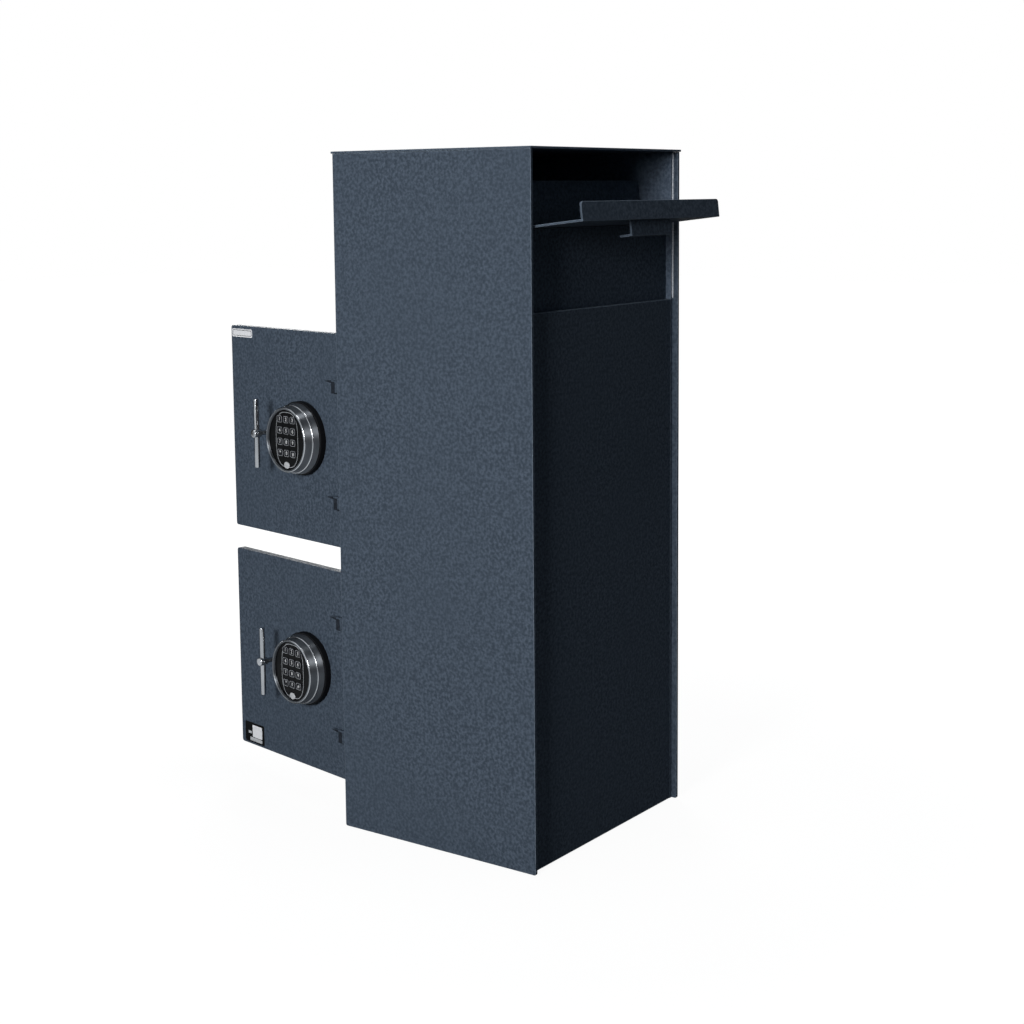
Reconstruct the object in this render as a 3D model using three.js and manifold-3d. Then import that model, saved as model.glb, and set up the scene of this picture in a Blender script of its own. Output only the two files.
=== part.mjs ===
// Dual-door drop safe with a tilting deposit drawer at the rear.
// Millimetres, +Z up. The origin is the centre of the footprint on the floor, the doors face -Y,
// the deposit side faces +Y and the door hinges are on +X. The pose is the one photographed:
// both doors swung open, the deposit drawer tilted out, the bolts drawn back.
import * as THREE from 'three';
import * as BufferGeometryUtils from 'three/addons/utils/BufferGeometryUtils.js';
import Module from 'manifold-3d';

// Body
const bodyWidth = 394;
const bodyDepth = 352;
const bodyHeight = 1016;
const skinThickness = 4.8;
const skinCornerRadius = 3;
const innerWallThickness = 4.8;
const rearRecess = 9; // the skins stand this far past the inner walls at the rear
const topThickness = 3.2;
const topOverhang = 2;
const topCornerRadius = 1.5;
const bottomThickness = 6.4;
const frontThickness = 12.7;
const seam = 0.2; // gap between plates that are welded edge to edge
const anchorHoleRadius = 7;
const anchorHoleInset = 60;

// Rear wall, armour plate and inner plates
const rearWallThickness = 4.8;
const armourThickness = 8.6;
const armourDrop = 225.5; // from the body's top to the armour plate's top
const shelfThickness = 6.4;
const fishPlateThickness = 3;
const fishPlateDrop = 144; // from the body's top to its front edge
const fishPlateSlope = 18; // degrees
const fishPlateRun = 150; // length along Y
const fishPlateLip = 16; // turned-down rear edge

// Doors
const doorFreeInset = 38; // from the body's side to the door's free edge
const depositHeadHeight = 271.5; // from the upper door's top edge to the body's top
const doorThickness = 12.7;
const doorCornerRadius = 4;
const doorGap = 2; // edge gap to the front frame
const doorOpenAngle = 78.9; // degrees, as photographed
const lowerDoorBottom = 46.5;
const crossbarHeight = 39;
const doorStopReach = 9;
const doorStopThickness = 5;
const doorStopLength = 60;
const stopClearance = 0.5;

// Hinges
const hingeInset = 37; // from the body's side to the hinge axis
const barrelRadius = 12.5;
const barrelLift = 0.3; // gap from the barrel to the door's face
const hingePinRadius = 6;
const pinClearance = 0.3;
const knuckleLength = 24;
const knuckleGap = 0.6;
const pinFloor = 3; // metal left under the pin in its fixed knuckle
const lowHingeRise = 70; // the low moving knuckle's middle above the door's lower edge
const highHingeDrop = 80; // the high one's below the door's upper edge
const leafHeight = 19;
const leafReach = 48;
const leafTailReach = 62; // a thin tail runs on from the leaf's upper corner
const leafTailRoot = 5;
const leafTailTip = 2;
const leafTailDrop = 1.2;
const leafThickness = 6;
const fixedLeafReach = 26;

// Dead bar at the hinge side of each door
const deadBarReach = 9; // past the hinge axis, behind the frame
const deadBarLanding = 22; // on the door
const deadBarThickness = 6.4;
const deadBarInset = 42; // from the door's upper and lower edges

// Keypad
const keypadAcross = 128; // from the door's hinge edge
const keypadDrop = 2.8; // below the door's middle
const keypadBaseRadius = 58;
const keypadBaseHeight = 10.5;
const keypadDrumRadius = 55.8; // where the housing meets the base
const keypadStepRadius = 54.2;
const keypadStepHeight = 22.5;
const keypadStepWidth = 2;
const keypadRingRadius = 51; // at the front rim
const keypadRingTop = 35.5;
const keypadRimWidth = 3.6;
const keypadRimDepth = 5.5;
const keypadFilletRadius = 1.6;
const faceThickness = 1.6;
const keyWidth = 14;
const keyHeight = 11.5;
const keyCornerRadius = 3.4;
const keyThickness = 2.2;
const keyColumnPitch = 16.6;
const keyRowPitch = 17.6;
const keyFieldRaise = 5.2; // the key field's centre above the keypad's centre
const keyTravel = 1;
const fitGap = 0.3; // gap between pieces that seat in or on each other

// Handle and boltwork
const keypadHandleGap = 1; // across, from the keypad's base to the handle's collar
const handleRaise = 2; // above the door's middle
const handleStandoff = 40.4; // from the door's face to the cross bar's axis
const spindleRadius = 6.5; // through the door
const shaftRadius = 4; // from the collar to the hub
const hubRadius = 6.7;
const hubFront = 7.6; // from the cross bar's axis
const hubBack = 6.4;
const handleBarRadius = 4.2;
const handleBarLength = 109;
const collarRadius = 9;
const collarHeight = 3;
const boltTravel = 16;
const camPlateRadius = 16.5;
const camPlateThickness = 4.6;
const camPinRadius = 3;
const camPinClearance = 0.6;
const camSlotRadius = 2;
const boltBarWidth = 30;
const boltBarThickness = 5;
const boltBarInset = 42; // from the door's upper and lower edges
const boltBarGap = 0.8; // from the cam plate to the bolt bar
const boltRadius = 8;
const boltInset = 82; // from the door's upper and lower edges
const boltEndInset = 2; // drawn bolts end this far inside the door's free edge
const guideThickness = 4;
const guideSetback = 20; // from the door's free edge
const guideLegWidth = 24;
const guideInset = 60; // from the door's upper and lower edges
const guideRise = 22;
const keeperHeight = 14;
const keeperWall = 6;
const keeperCap = 3.4;

// Lock
const lockCaseWidth = 62;
const lockCaseHeight = 82;
const lockCaseDepth = 31;
const lockCaseChamfer = 5;
const lockBoltHeight = 19;
const lockBoltThickness = 9;
const lockBoltLength = 34;
const lockBoltRise = 7; // from the door's inner face to the lock bolt
const lockBoltTravel = 12;
const lockBarGap = 0.5;

// Deposit drawer
const drawerTilt = 6.2; // degrees, floor rising outwards
const drawerPivotSetback = 32; // from the rear plane to the pivot axis
const drawerPivotDrop = 117.5; // from the body's top to the pivot axis
const drawerRodRadius = 3.2;
const drawerSheet = 3;
const drawerSideGap = 1.7; // from the drawer's edge to the inner wall
const drawerFloorRise = 5.2; // from the pivot axis to the floor's underside
const drawerReach = 108.9; // from the pivot axis to the lip's outer face
const drawerLipHeight = 26.6;
const drawerBaffleSetback = 27.1; // from the pivot axis to the baffle's outer face
const drawerBaffleHeight = 70.1;
const drawerCornerRadius = 5;
const drawerBendRadius = 1;
const drawerKnuckleLength = 40;
const drawerKnuckleSpacing = 130;
const drawerClosedTurn = 83.9; // degrees from the open pose
const drawerStopWidth = 120;
const drawerStopReach = 19; // inwards from the rear wall
const drawerStopThickness = 3.2;
const pullLength = 109;
const pullDrop = 22;
const pullLeg = 20;
const pullSetback = 7; // from the lip's outer face to the pull's outer face

// Facets
const roundSegments = 24;
const ringSegments = 48;
const cornerSegments = 3;

// Worked-out places
const halfWidth = bodyWidth / 2;
const frontY = -bodyDepth / 2;
const rearY = bodyDepth / 2;
const topPlateBottom = bodyHeight - topThickness;
const skinTop = topPlateBottom - seam;
const skinInnerX = halfWidth - skinThickness;
const innerWallOuterX = skinInnerX - seam;
const innerWallInnerX = innerWallOuterX - innerWallThickness;
const innerWallRearY = rearY - rearRecess;
const plateHalfWidth = innerWallInnerX - seam;
const frontInnerY = frontY + frontThickness;
const innerFrontY = frontInnerY + seam;
const rearWallOuterY = innerWallRearY - armourThickness - seam;
const rearWallInnerY = rearWallOuterY - rearWallThickness;
const armourTop = bodyHeight - armourDrop;
const fishPlateTop = bodyHeight - fishPlateDrop;
const pivotY = rearY - drawerPivotSetback;
const drawerPivotHeight = bodyHeight - drawerPivotDrop;
const drawerWidth = 2 * (innerWallInnerX - drawerSideGap);
const tilt = THREE.MathUtils.degToRad(drawerTilt);
const sillAcross = rearWallInnerY - pivotY;
const rearWallTop = drawerPivotHeight
    + (drawerFloorRise + sillAcross * Math.sin(tilt)) / Math.cos(tilt) - fitGap;
const hingeX = halfWidth - hingeInset;
const faceOffset = barrelRadius + barrelLift; // from the hinge axis back to the door's outer face
const hingeY = frontY - faceOffset;
const hingeEdge = doorGap / 2; // from the hinge axis to the door's edge
const doorInnerFace = faceOffset + doorThickness;
const doorWidth = bodyWidth - hingeInset - hingeEdge - doorFreeInset;
const doorHeight = (bodyHeight - depositHeadHeight - lowerDoorBottom - crossbarHeight) / 2;
const hingeHeights = [lowHingeRise, doorHeight - highHingeDrop];
const boltBarHeight = doorHeight - 2 * boltBarInset;
const upperDoorBottom = lowerDoorBottom + doorHeight + crossbarHeight;
const shelfMiddle = lowerDoorBottom + doorHeight + crossbarHeight / 2;
const camRadius = boltTravel / Math.SQRT2;

const wasm = await Module();
wasm.setup();

// Geometry helpers

/** A box between two corners. */
function box(x0, x1, y0, y1, z0, z1) {
  const geometry = new THREE.BoxGeometry(x1 - x0, y1 - y0, z1 - z0);
  return geometry.translate((x0 + x1) / 2, (y0 + y1) / 2, (z0 + z1) / 2);
}

/** A rectangle outline with its own radius at each corner, from the lower left one on. */
function roundedRectangle(a0, a1, b0, b1, radii) {
  const [lowerLeft, lowerRight, upperRight, upperLeft] = radii;
  const shape = new THREE.Shape();
  shape.moveTo(a0 + lowerLeft, b0);
  shape.lineTo(a1 - lowerRight, b0);
  if (lowerRight) shape.absarc(a1 - lowerRight, b0 + lowerRight, lowerRight, -Math.PI / 2, 0);
  shape.lineTo(a1, b1 - upperRight);
  if (upperRight) shape.absarc(a1 - upperRight, b1 - upperRight, upperRight, 0, Math.PI / 2);
  shape.lineTo(a0 + upperLeft, b1);
  if (upperLeft) shape.absarc(a0 + upperLeft, b1 - upperLeft, upperLeft, Math.PI / 2, Math.PI);
  shape.lineTo(a0, b0 + lowerLeft);
  if (lowerLeft) shape.absarc(a0 + lowerLeft, b0 + lowerLeft, lowerLeft, Math.PI, 1.5 * Math.PI);
  return shape;
}

/** An outline through points. */
function polygon(points) {
  return new THREE.Shape(points.map(([a, b]) => new THREE.Vector2(a, b)));
}

/** Extrudes an outline to a depth. */
function extrude(shape, depth, curveSegments = cornerSegments) {
  return new THREE.ExtrudeGeometry(shape, { depth, bevelEnabled: false, curveSegments });
}

/** An outline in X and Z, extruded from y0 to y1. */
function plateAcrossY(shape, y0, y1, curveSegments) {
  return extrude(shape, y1 - y0, curveSegments).rotateX(Math.PI / 2).translate(0, y1, 0);
}

/** An outline in Y and Z, extruded from x0 to x1. */
function plateAcrossX(shape, x0, x1, curveSegments) {
  const turn = new THREE.Matrix4().makeBasis(
    new THREE.Vector3(0, 1, 0), new THREE.Vector3(0, 0, 1), new THREE.Vector3(1, 0, 0));
  return extrude(shape, x1 - x0, curveSegments).applyMatrix4(turn).translate(x0, 0, 0);
}

/** An outline in X and Y, extruded from z0 to z1. */
function plateAcrossZ(shape, z0, z1, curveSegments) {
  return extrude(shape, z1 - z0, curveSegments).translate(0, 0, z0);
}

/** A cylinder along Z. */
function cylinderZ(x, y, radius, z0, z1, segments = roundSegments) {
  return new THREE.CylinderGeometry(radius, radius, z1 - z0, segments)
    .rotateX(Math.PI / 2).translate(x, y, (z0 + z1) / 2);
}

/** A cylinder along Y. */
function cylinderY(x, z, radius, y0, y1, segments = roundSegments) {
  return new THREE.CylinderGeometry(radius, radius, y1 - y0, segments)
    .translate(x, (y0 + y1) / 2, z);
}

/** A cylinder along X. */
function cylinderX(y, z, radius, x0, x1, segments = roundSegments) {
  return new THREE.CylinderGeometry(radius, radius, x1 - x0, segments)
    .rotateZ(Math.PI / 2).translate((x0 + x1) / 2, y, z);
}

/** Turns a closed geometry into a solid that can be joined and cut. */
function solid(geometry) {
  const bare = geometry.index ? geometry.toNonIndexed() : geometry.clone();
  bare.deleteAttribute('normal');
  bare.deleteAttribute('uv');
  const merged = BufferGeometryUtils.mergeVertices(bare, 1e-4);
  return new wasm.Manifold(new wasm.Mesh({
    numProp: 3,
    vertProperties: Float32Array.from(merged.attributes.position.array),
    triVerts: Uint32Array.from(merged.index.array),
  }));
}

/** Turns a solid back into a geometry. */
function geometryOf(manifold) {
  const mesh = manifold.getMesh();
  const geometry = new THREE.BufferGeometry();
  geometry.setAttribute('position', new THREE.BufferAttribute(mesh.vertProperties, 3));
  geometry.setIndex(new THREE.BufferAttribute(mesh.triVerts, 1));
  return geometry;
}

/** Joins geometries into one solid. */
function join(...parts) {
  return geometryOf(parts.map(solid).reduce((whole, part) => whole.add(part)));
}

/** Cuts the later geometries out of the first. */
function cut(first, ...tools) {
  return geometryOf(tools.map(solid).reduce((whole, tool) => whole.subtract(tool), solid(first)));
}

// Finishes

const finish = {
  powder: { color: 0x3f4a57, roughness: 0.6, metalness: 0.1 },
  innerPowder: { color: 0x2a3039, roughness: 0.7, metalness: 0.1 },
  steel: { color: 0x8e9296, roughness: 0.4, metalness: 1 },
  chrome: { color: 0xb9bcc0, roughness: 0.15, metalness: 1 },
  blackPlastic: { color: 0x121315, roughness: 0.45, metalness: 0 },
  keyPlastic: { color: 0x1b1c1f, roughness: 0.5, metalness: 0 },
  zinc: { color: 0x9a9c9c, roughness: 0.45, metalness: 0.9 },
};

/** A named mesh with its own material. */
function piece(name, geometry, look) {
  const mesh = new THREE.Mesh(geometry, new THREE.MeshStandardMaterial(look));
  mesh.name = name;
  return mesh;
}

// Body

/** The outer side skin, its lower corners slightly rounded. */
function sidePanel(side) {
  const outline = roundedRectangle(frontY, rearY, 0, skinTop,
    [skinCornerRadius, skinCornerRadius, 0, 0]);
  const [x0, x1] = side > 0 ? [skinInnerX, halfWidth] : [-halfWidth, -skinInnerX];
  return plateAcrossX(outline, x0, x1);
}

/** The inner wall behind a side skin, drilled for the drawer's pivot rod. */
function innerWall(side) {
  const xs = [innerWallInnerX * side, innerWallOuterX * side].sort((a, b) => a - b);
  const wall = box(xs[0], xs[1], innerFrontY, innerWallRearY, 0, skinTop);
  const bore = cylinderX(pivotY, drawerPivotHeight, drawerRodRadius + fitGap,
    xs[0] - seam, xs[1] + seam);
  return cut(wall, bore);
}

/** The top plate, which overhangs the skins a little. */
function topPlate() {
  const x = halfWidth + topOverhang;
  const y = rearY + topOverhang;
  const r = topCornerRadius;
  return plateAcrossZ(roundedRectangle(-x, x, -y, y, [r, r, r, r]), topPlateBottom, bodyHeight);
}

/** The rear wall with the ledge that the closed drawer's baffle comes to rest on. */
function rearWall() {
  const wall = box(-plateHalfWidth, plateHalfWidth, rearWallInnerY, rearWallOuterY,
    0, rearWallTop);
  const turned = THREE.MathUtils.degToRad(drawerTilt + drawerClosedTurn);
  const baffleFoot = drawerFloorRise * Math.cos(turned)
    - (drawerBaffleSetback + drawerSheet) * Math.sin(turned);
  const top = drawerPivotHeight + baffleFoot - stopClearance;
  const ledge = box(-drawerStopWidth / 2, drawerStopWidth / 2,
    rearWallInnerY - drawerStopReach, rearWallInnerY + seam, top - drawerStopThickness, top);
  return join(wall, ledge);
}

/** The bottom plate with its four anchor holes. */
function bottomPlate() {
  const y0 = innerFrontY;
  const y1 = rearWallInnerY - seam;
  const plate = box(-plateHalfWidth, plateHalfWidth, y0, y1, 0, bottomThickness);
  const holes = [];
  for (const x of [-1, 1]) {
    for (const y of [y0 + anchorHoleInset, y1 - anchorHoleInset]) {
      holes.push(cylinderZ(x * (plateHalfWidth - anchorHoleInset), y, anchorHoleRadius,
        -seam, bottomThickness + seam));
    }
  }
  return cut(plate, ...holes);
}

/** The front plate with its two doorways and the stop tabs that the doors close against. */
function frontFrame() {
  const x = skinInnerX - seam;
  const plate = roundedRectangle(-x, x, 0, skinTop, [0, 0, 0, 0]);
  const right = hingeX + hingeEdge;
  const left = hingeX - hingeEdge - doorWidth - doorGap;
  const tabs = [];
  for (const z of [lowerDoorBottom, upperDoorBottom]) {
    const z0 = z - doorGap;
    const z1 = z + doorHeight + doorGap;
    plate.holes.push(roundedRectangle(left, right, z0, z1,
      [doorCornerRadius, doorCornerRadius, doorCornerRadius, doorCornerRadius]));
    const middle = (left + right) / 2;
    const y0 = frontInnerY + stopClearance;
    for (const [inner, outer] of [[z0 + doorStopReach, z0 - doorStopReach],
      [z1 - doorStopReach, z1 + doorStopReach]]) {
      const edge = outer < inner ? z0 : z1;
      const zs = [inner, outer].sort((a, b) => a - b);
      tabs.push(box(middle - doorStopLength / 2, middle + doorStopLength / 2,
        y0, y0 + doorStopThickness, zs[0], zs[1]));
      const feet = [edge, outer].sort((a, b) => a - b);
      tabs.push(box(middle - doorStopLength / 2, middle + doorStopLength / 2,
        frontInnerY - seam, y0 + seam, feet[0] + (outer > inner ? seam : 0), feet[1]));
    }
  }
  const bores = knucklePlaces().map((z) => fixedBore(z));
  return cut(join(plateAcrossY(plate, frontY, frontInnerY), ...tabs, ...fixedKnuckles()), ...bores);
}

/** The shelf that parts the upper compartment from the lower one. */
function dividerShelf() {
  return box(-plateHalfWidth, plateHalfWidth, innerFrontY + shelfSetback(), rearWallInnerY - seam,
    shelfMiddle - shelfThickness / 2, shelfMiddle + shelfThickness / 2);
}

/** The shelf starts behind the stop tabs. */
function shelfSetback() {
  return stopClearance + doorStopThickness + seam;
}

/** The sloping plate that keeps hands and hooks out of the upper compartment. */
function fishPlate() {
  const slope = THREE.MathUtils.degToRad(fishPlateSlope);
  const t = fishPlateThickness / Math.cos(slope);
  const y0 = innerFrontY;
  const y1 = y0 + fishPlateRun;
  const zEnd = fishPlateTop - fishPlateRun * Math.tan(slope);
  const profile = polygon([
    [y0, fishPlateTop - t], [y1 - fishPlateThickness, zEnd - t],
    [y1 - fishPlateThickness, zEnd - fishPlateLip], [y1, zEnd - fishPlateLip],
    [y1, zEnd], [y0, fishPlateTop],
  ]);
  return plateAcrossX(profile, -plateHalfWidth, plateHalfWidth);
}

/** The height of each moving knuckle's middle, for both doors. */
function knucklePlaces() {
  return [lowerDoorBottom, upperDoorBottom].flatMap((z) => hingeHeights.map((h) => z + h));
}

/** The top of the fixed knuckle under a moving one. */
function fixedKnuckleTop(middle) {
  return middle - knuckleLength / 2 - knuckleGap;
}

/** The fixed knuckles, each welded to the front plate by its leaf. */
function fixedKnuckles() {
  return knucklePlaces().flatMap((middle) => {
    const z1 = fixedKnuckleTop(middle);
    const z0 = z1 - knuckleLength;
    return [
      cylinderZ(hingeX, hingeY, barrelRadius, z0, z1),
      box(hingeX, hingeX + fixedLeafReach, frontY - leafThickness, frontY + seam, z0, z1),
    ];
  });
}

/** The blind bore of a fixed knuckle, open at its top. */
function fixedBore(middle) {
  const z1 = fixedKnuckleTop(middle);
  return cylinderZ(hingeX, hingeY, hingePinRadius + fitGap, z1 - knuckleLength + pinFloor, z1 + seam);
}

/** A hinge pin, standing on the floor of its fixed knuckle's bore. */
function hingePin(middle) {
  const z0 = fixedKnuckleTop(middle) - knuckleLength + pinFloor + fitGap;
  return cylinderZ(hingeX, hingeY, hingePinRadius, z0, middle + knuckleLength / 2);
}

/** All pieces of the welded body. */
function body() {
  const group = new THREE.Group();
  const { powder, innerPowder, steel } = finish;
  const armour = box(-plateHalfWidth, plateHalfWidth, rearWallOuterY + seam, innerWallRearY,
    0, armourTop);
  group.add(
    piece('side_panel_right', sidePanel(1), powder),
    piece('side_panel_left', sidePanel(-1), powder),
    piece('inner_wall_right', innerWall(1), innerPowder),
    piece('inner_wall_left', innerWall(-1), innerPowder),
    piece('top_plate', topPlate(), powder),
    piece('bottom_plate', bottomPlate(), innerPowder),
    piece('front_frame', frontFrame(), powder),
    piece('divider_shelf', dividerShelf(), innerPowder),
    piece('rear_wall', rearWall(), innerPowder),
    piece('rear_armour_plate', armour, powder),
    piece('anti_fishing_plate', fishPlate(), innerPowder),
    piece('drawer_pivot_rod', cylinderX(pivotY, drawerPivotHeight, drawerRodRadius,
      -innerWallOuterX + seam, innerWallOuterX - seam), steel),
  );
  const pinNames = ['lower_door_pin_bottom', 'lower_door_pin_top', 'upper_door_pin_bottom',
    'upper_door_pin_top'];
  knucklePlaces().forEach((middle, i) => group.add(piece(pinNames[i], hingePin(middle), steel)));
  return group;
}

// Deposit drawer, drawn in its own frame: origin on the pivot axis, floor level

/** One knuckle under the drawer's floor, bored for the pivot rod. */
function drawerKnuckle(x) {
  const x0 = x - drawerKnuckleLength / 2;
  const x1 = x + drawerKnuckleLength / 2;
  const barrel = cylinderX(0, 0, drawerFloorRise, x0, x1);
  const web = box(x0, x1, -drawerFloorRise, drawerFloorRise, 0, drawerFloorRise + seam);
  return join(barrel, web);
}

/** The folded tray: floor, outer lip and inner baffle of one sheet, with its knuckles. */
function drawerTray() {
  const half = drawerWidth / 2;
  const r = drawerCornerRadius;
  const b = drawerBendRadius;
  const z0 = drawerFloorRise;
  const inner = -drawerBaffleSetback - drawerSheet;
  const floor = box(-half, half, inner, drawerReach, z0, z0 + drawerSheet);
  const lip = plateAcrossY(roundedRectangle(-half, half, z0, z0 + drawerLipHeight, [b, b, r, r]),
    drawerReach - drawerSheet, drawerReach);
  const baffle = plateAcrossY(roundedRectangle(-half, half, z0, z0 + drawerBaffleHeight, [0, 0, r, r]),
    inner, -drawerBaffleSetback);
  const knuckles = [-1, 0, 1].map((i) => drawerKnuckle(i * drawerKnuckleSpacing));
  const rodHole = cylinderX(0, 0, drawerRodRadius + fitGap, -half, half);
  return cut(join(floor, lip, baffle, ...knuckles), rodHole);
}

/** The folded finger pull under the drawer's lip. */
function fingerPull() {
  const y1 = drawerReach - pullSetback;
  const z1 = drawerFloorRise - fitGap;
  const z0 = z1 - pullDrop;
  const profile = polygon([
    [y1, z1], [y1 - drawerSheet, z1], [y1 - drawerSheet, z0 + drawerSheet],
    [y1 - pullLeg, z0 + drawerSheet], [y1 - pullLeg, z0], [y1, z0],
  ]);
  return plateAcrossX(profile, -pullLength / 2, pullLength / 2);
}

/** The drawer as photographed, tipped outwards on its pivot rod. */
function drawer() {
  const group = new THREE.Group();
  group.position.set(0, pivotY, drawerPivotHeight);
  group.rotation.x = tilt;
  group.add(
    piece('drawer_tray', drawerTray(), finish.powder),
    piece('drawer_finger_pull', fingerPull(), finish.powder),
  );
  return group;
}

// Doors, drawn closed in their own frame: origin on the hinge axis at the door's lower edge,
// the door lying towards -X with its outer face towards -Y

const keypadX = -hingeEdge - keypadAcross;
const keypadZ = doorHeight / 2 - keypadDrop;
const handleX = keypadX - keypadBaseRadius - keypadHandleGap - collarRadius;
const handleZ = doorHeight / 2 + handleRaise;
const freeEdgeX = -hingeEdge - doorWidth;

/** The distance along Y of a height above the door's outer face. */
function outside(height) {
  return faceOffset - height;
}

/** The distance along Y of a height above the door's inner face. */
function inside(height) {
  return doorInnerFace + height;
}

/** The door plate with what is welded to it: knuckles, dead bar and the bolt bar's keepers. */
function doorPlate() {
  const r = doorCornerRadius;
  const plate = plateAcrossY(
    roundedRectangle(freeEdgeX, -hingeEdge, 0, doorHeight, [r, r, r, r]),
    faceOffset, doorInnerFace);
  const bore = cylinderY(handleX, handleZ, spindleRadius + fitGap, faceOffset - seam,
    doorInnerFace + seam);
  const pinBores = hingeHeights.map((height) => cylinderZ(0, 0, hingePinRadius + pinClearance,
    height - knuckleLength / 2 - seam, height + knuckleLength / 2 + seam));
  return cut(join(plate, ...deadBar(), ...doorKnuckles(), ...keepers()), bore, ...pinBores);
}

/** The dead bar, welded inside the hinge edge and reaching behind the front frame. */
function deadBar() {
  const z0 = deadBarInset;
  const z1 = doorHeight - deadBarInset;
  return [
    box(-deadBarLanding, deadBarReach, inside(stopClearance),
      inside(stopClearance + deadBarThickness), z0, z1),
    box(-deadBarLanding, -hingeEdge - fitGap, inside(-seam), inside(stopClearance + seam), z0, z1),
  ];
}

/** The moving knuckles with their tailed leaves, welded to the door's face. */
function doorKnuckles() {
  return hingeHeights.flatMap((height) => {
    const top = height + leafHeight / 2;
    const tailTop = top - leafTailDrop;
    return [
      cylinderZ(0, 0, barrelRadius, height - knuckleLength / 2, height + knuckleLength / 2),
      plateAcrossY(polygon([
        [0, top - leafHeight], [0, top], [-leafReach, top], [-leafTailReach, tailTop],
        [-leafTailReach, tailTop - leafTailTip], [-leafReach, top - leafTailRoot],
        [-leafReach, top - leafHeight],
      ]), outside(leafThickness), outside(-seam)),
    ];
  });
}

/** The two keepers that the bolt bar's ends slide in. */
function keepers() {
  const back = boltBarBack();
  const front = back - boltBarWidth - boltTravel;
  const low = boltBarInner() - fitGap;
  const high = boltBarInner() + boltBarThickness + fitGap;
  const lean = keeperWall + fitGap;
  return [-1, 1].map((side) => {
    const middle = handleZ + side * (boltBarHeight / 2 - keeperHeight);
    const z0 = middle - keeperHeight / 2;
    const z1 = middle + keeperHeight / 2;
    return cut(
      box(front - lean, back + lean, inside(-seam), inside(high + keeperCap), z0, z1),
      box(front - fitGap, back + fitGap, inside(low), inside(high), z0 - seam, z1 + seam),
    );
  });
}

/** A body of revolution about the keypad's axis, its profile given as [radius, height]. */
function keypadTurned(profile) {
  const points = profile.map(([radius, height]) => new THREE.Vector2(radius, height));
  return new THREE.LatheGeometry(points, ringSegments)
    .rotateX(Math.PI).translate(keypadX, faceOffset, keypadZ);
}

/** The keypad's black base flange. */
function keypadBase() {
  const top = keypadBaseHeight;
  const edge = keypadFilletRadius;
  return keypadTurned([
    [0, fitGap], [keypadBaseRadius, fitGap], [keypadBaseRadius, top - edge],
    [keypadBaseRadius - edge, top], [0, top],
  ]);
}

/** A rounded outer corner of a turned profile, from its side round to its top. */
function turnedCorner(radius, height) {
  return Array.from({ length: cornerSegments + 1 }, (_, i) => {
    const angle = (i / cornerSegments) * Math.PI / 2;
    return [
      radius - keypadFilletRadius * (1 - Math.cos(angle)),
      height - keypadFilletRadius * (1 - Math.sin(angle)),
    ];
  });
}

/** The keypad's turned chrome housing: a stepped, slightly conical drum with a rim. */
function keypadRing() {
  const bottom = keypadBaseHeight + fitGap;
  const rim = keypadRingRadius - keypadRimWidth;
  const floor = keypadRingTop - keypadRimDepth;
  return keypadTurned([
    [0, bottom], [keypadDrumRadius, bottom],
    ...turnedCorner(keypadStepRadius, keypadStepHeight),
    [keypadStepRadius - keypadStepWidth, keypadStepHeight],
    ...turnedCorner(keypadRingRadius, keypadRingTop),
    [rim, keypadRingTop], [rim, floor], [0, floor],
  ]);
}

/** The centres of the twelve keys, row by row from the top. */
function keyPlaces() {
  const places = [];
  for (let row = 0; row < 4; row += 1) {
    for (let column = 0; column < 3; column += 1) {
      places.push([
        keypadX + (column - 1) * keyColumnPitch,
        keypadZ + keyFieldRaise + (1.5 - row) * keyRowPitch,
      ]);
    }
  }
  return places;
}

/** A key's outline, grown by a gap. */
function keyOutline(x, z, gap) {
  const w = keyWidth / 2 + gap;
  const h = keyHeight / 2 + gap;
  const r = keyCornerRadius + gap;
  return roundedRectangle(x - w, x + w, z - h, z + h, [r, r, r, r]);
}

/** The black face plate with its twelve key windows. */
function keypadFace() {
  const radius = keypadRingRadius - keypadRimWidth - fitGap;
  const rim = Array.from({ length: ringSegments }, (_, i) => {
    const angle = (i / ringSegments) * 2 * Math.PI;
    return [keypadX + radius * Math.cos(angle), keypadZ + radius * Math.sin(angle)];
  });
  const shape = polygon(rim);
  for (const [x, z] of keyPlaces()) shape.holes.push(keyOutline(x, z, fitGap));
  const bottom = keypadRingTop - keypadRimDepth + fitGap;
  const plate = extrude(shape, faceThickness);
  return plate.rotateX(Math.PI / 2).translate(0, outside(bottom), 0);
}

/** One key. It sits above the housing's floor by its travel. */
function key([x, z]) {
  const bottom = keypadRingTop - keypadRimDepth + fitGap + keyTravel;
  return plateAcrossY(keyOutline(x, z, 0), outside(bottom + keyThickness), outside(bottom));
}

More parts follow.
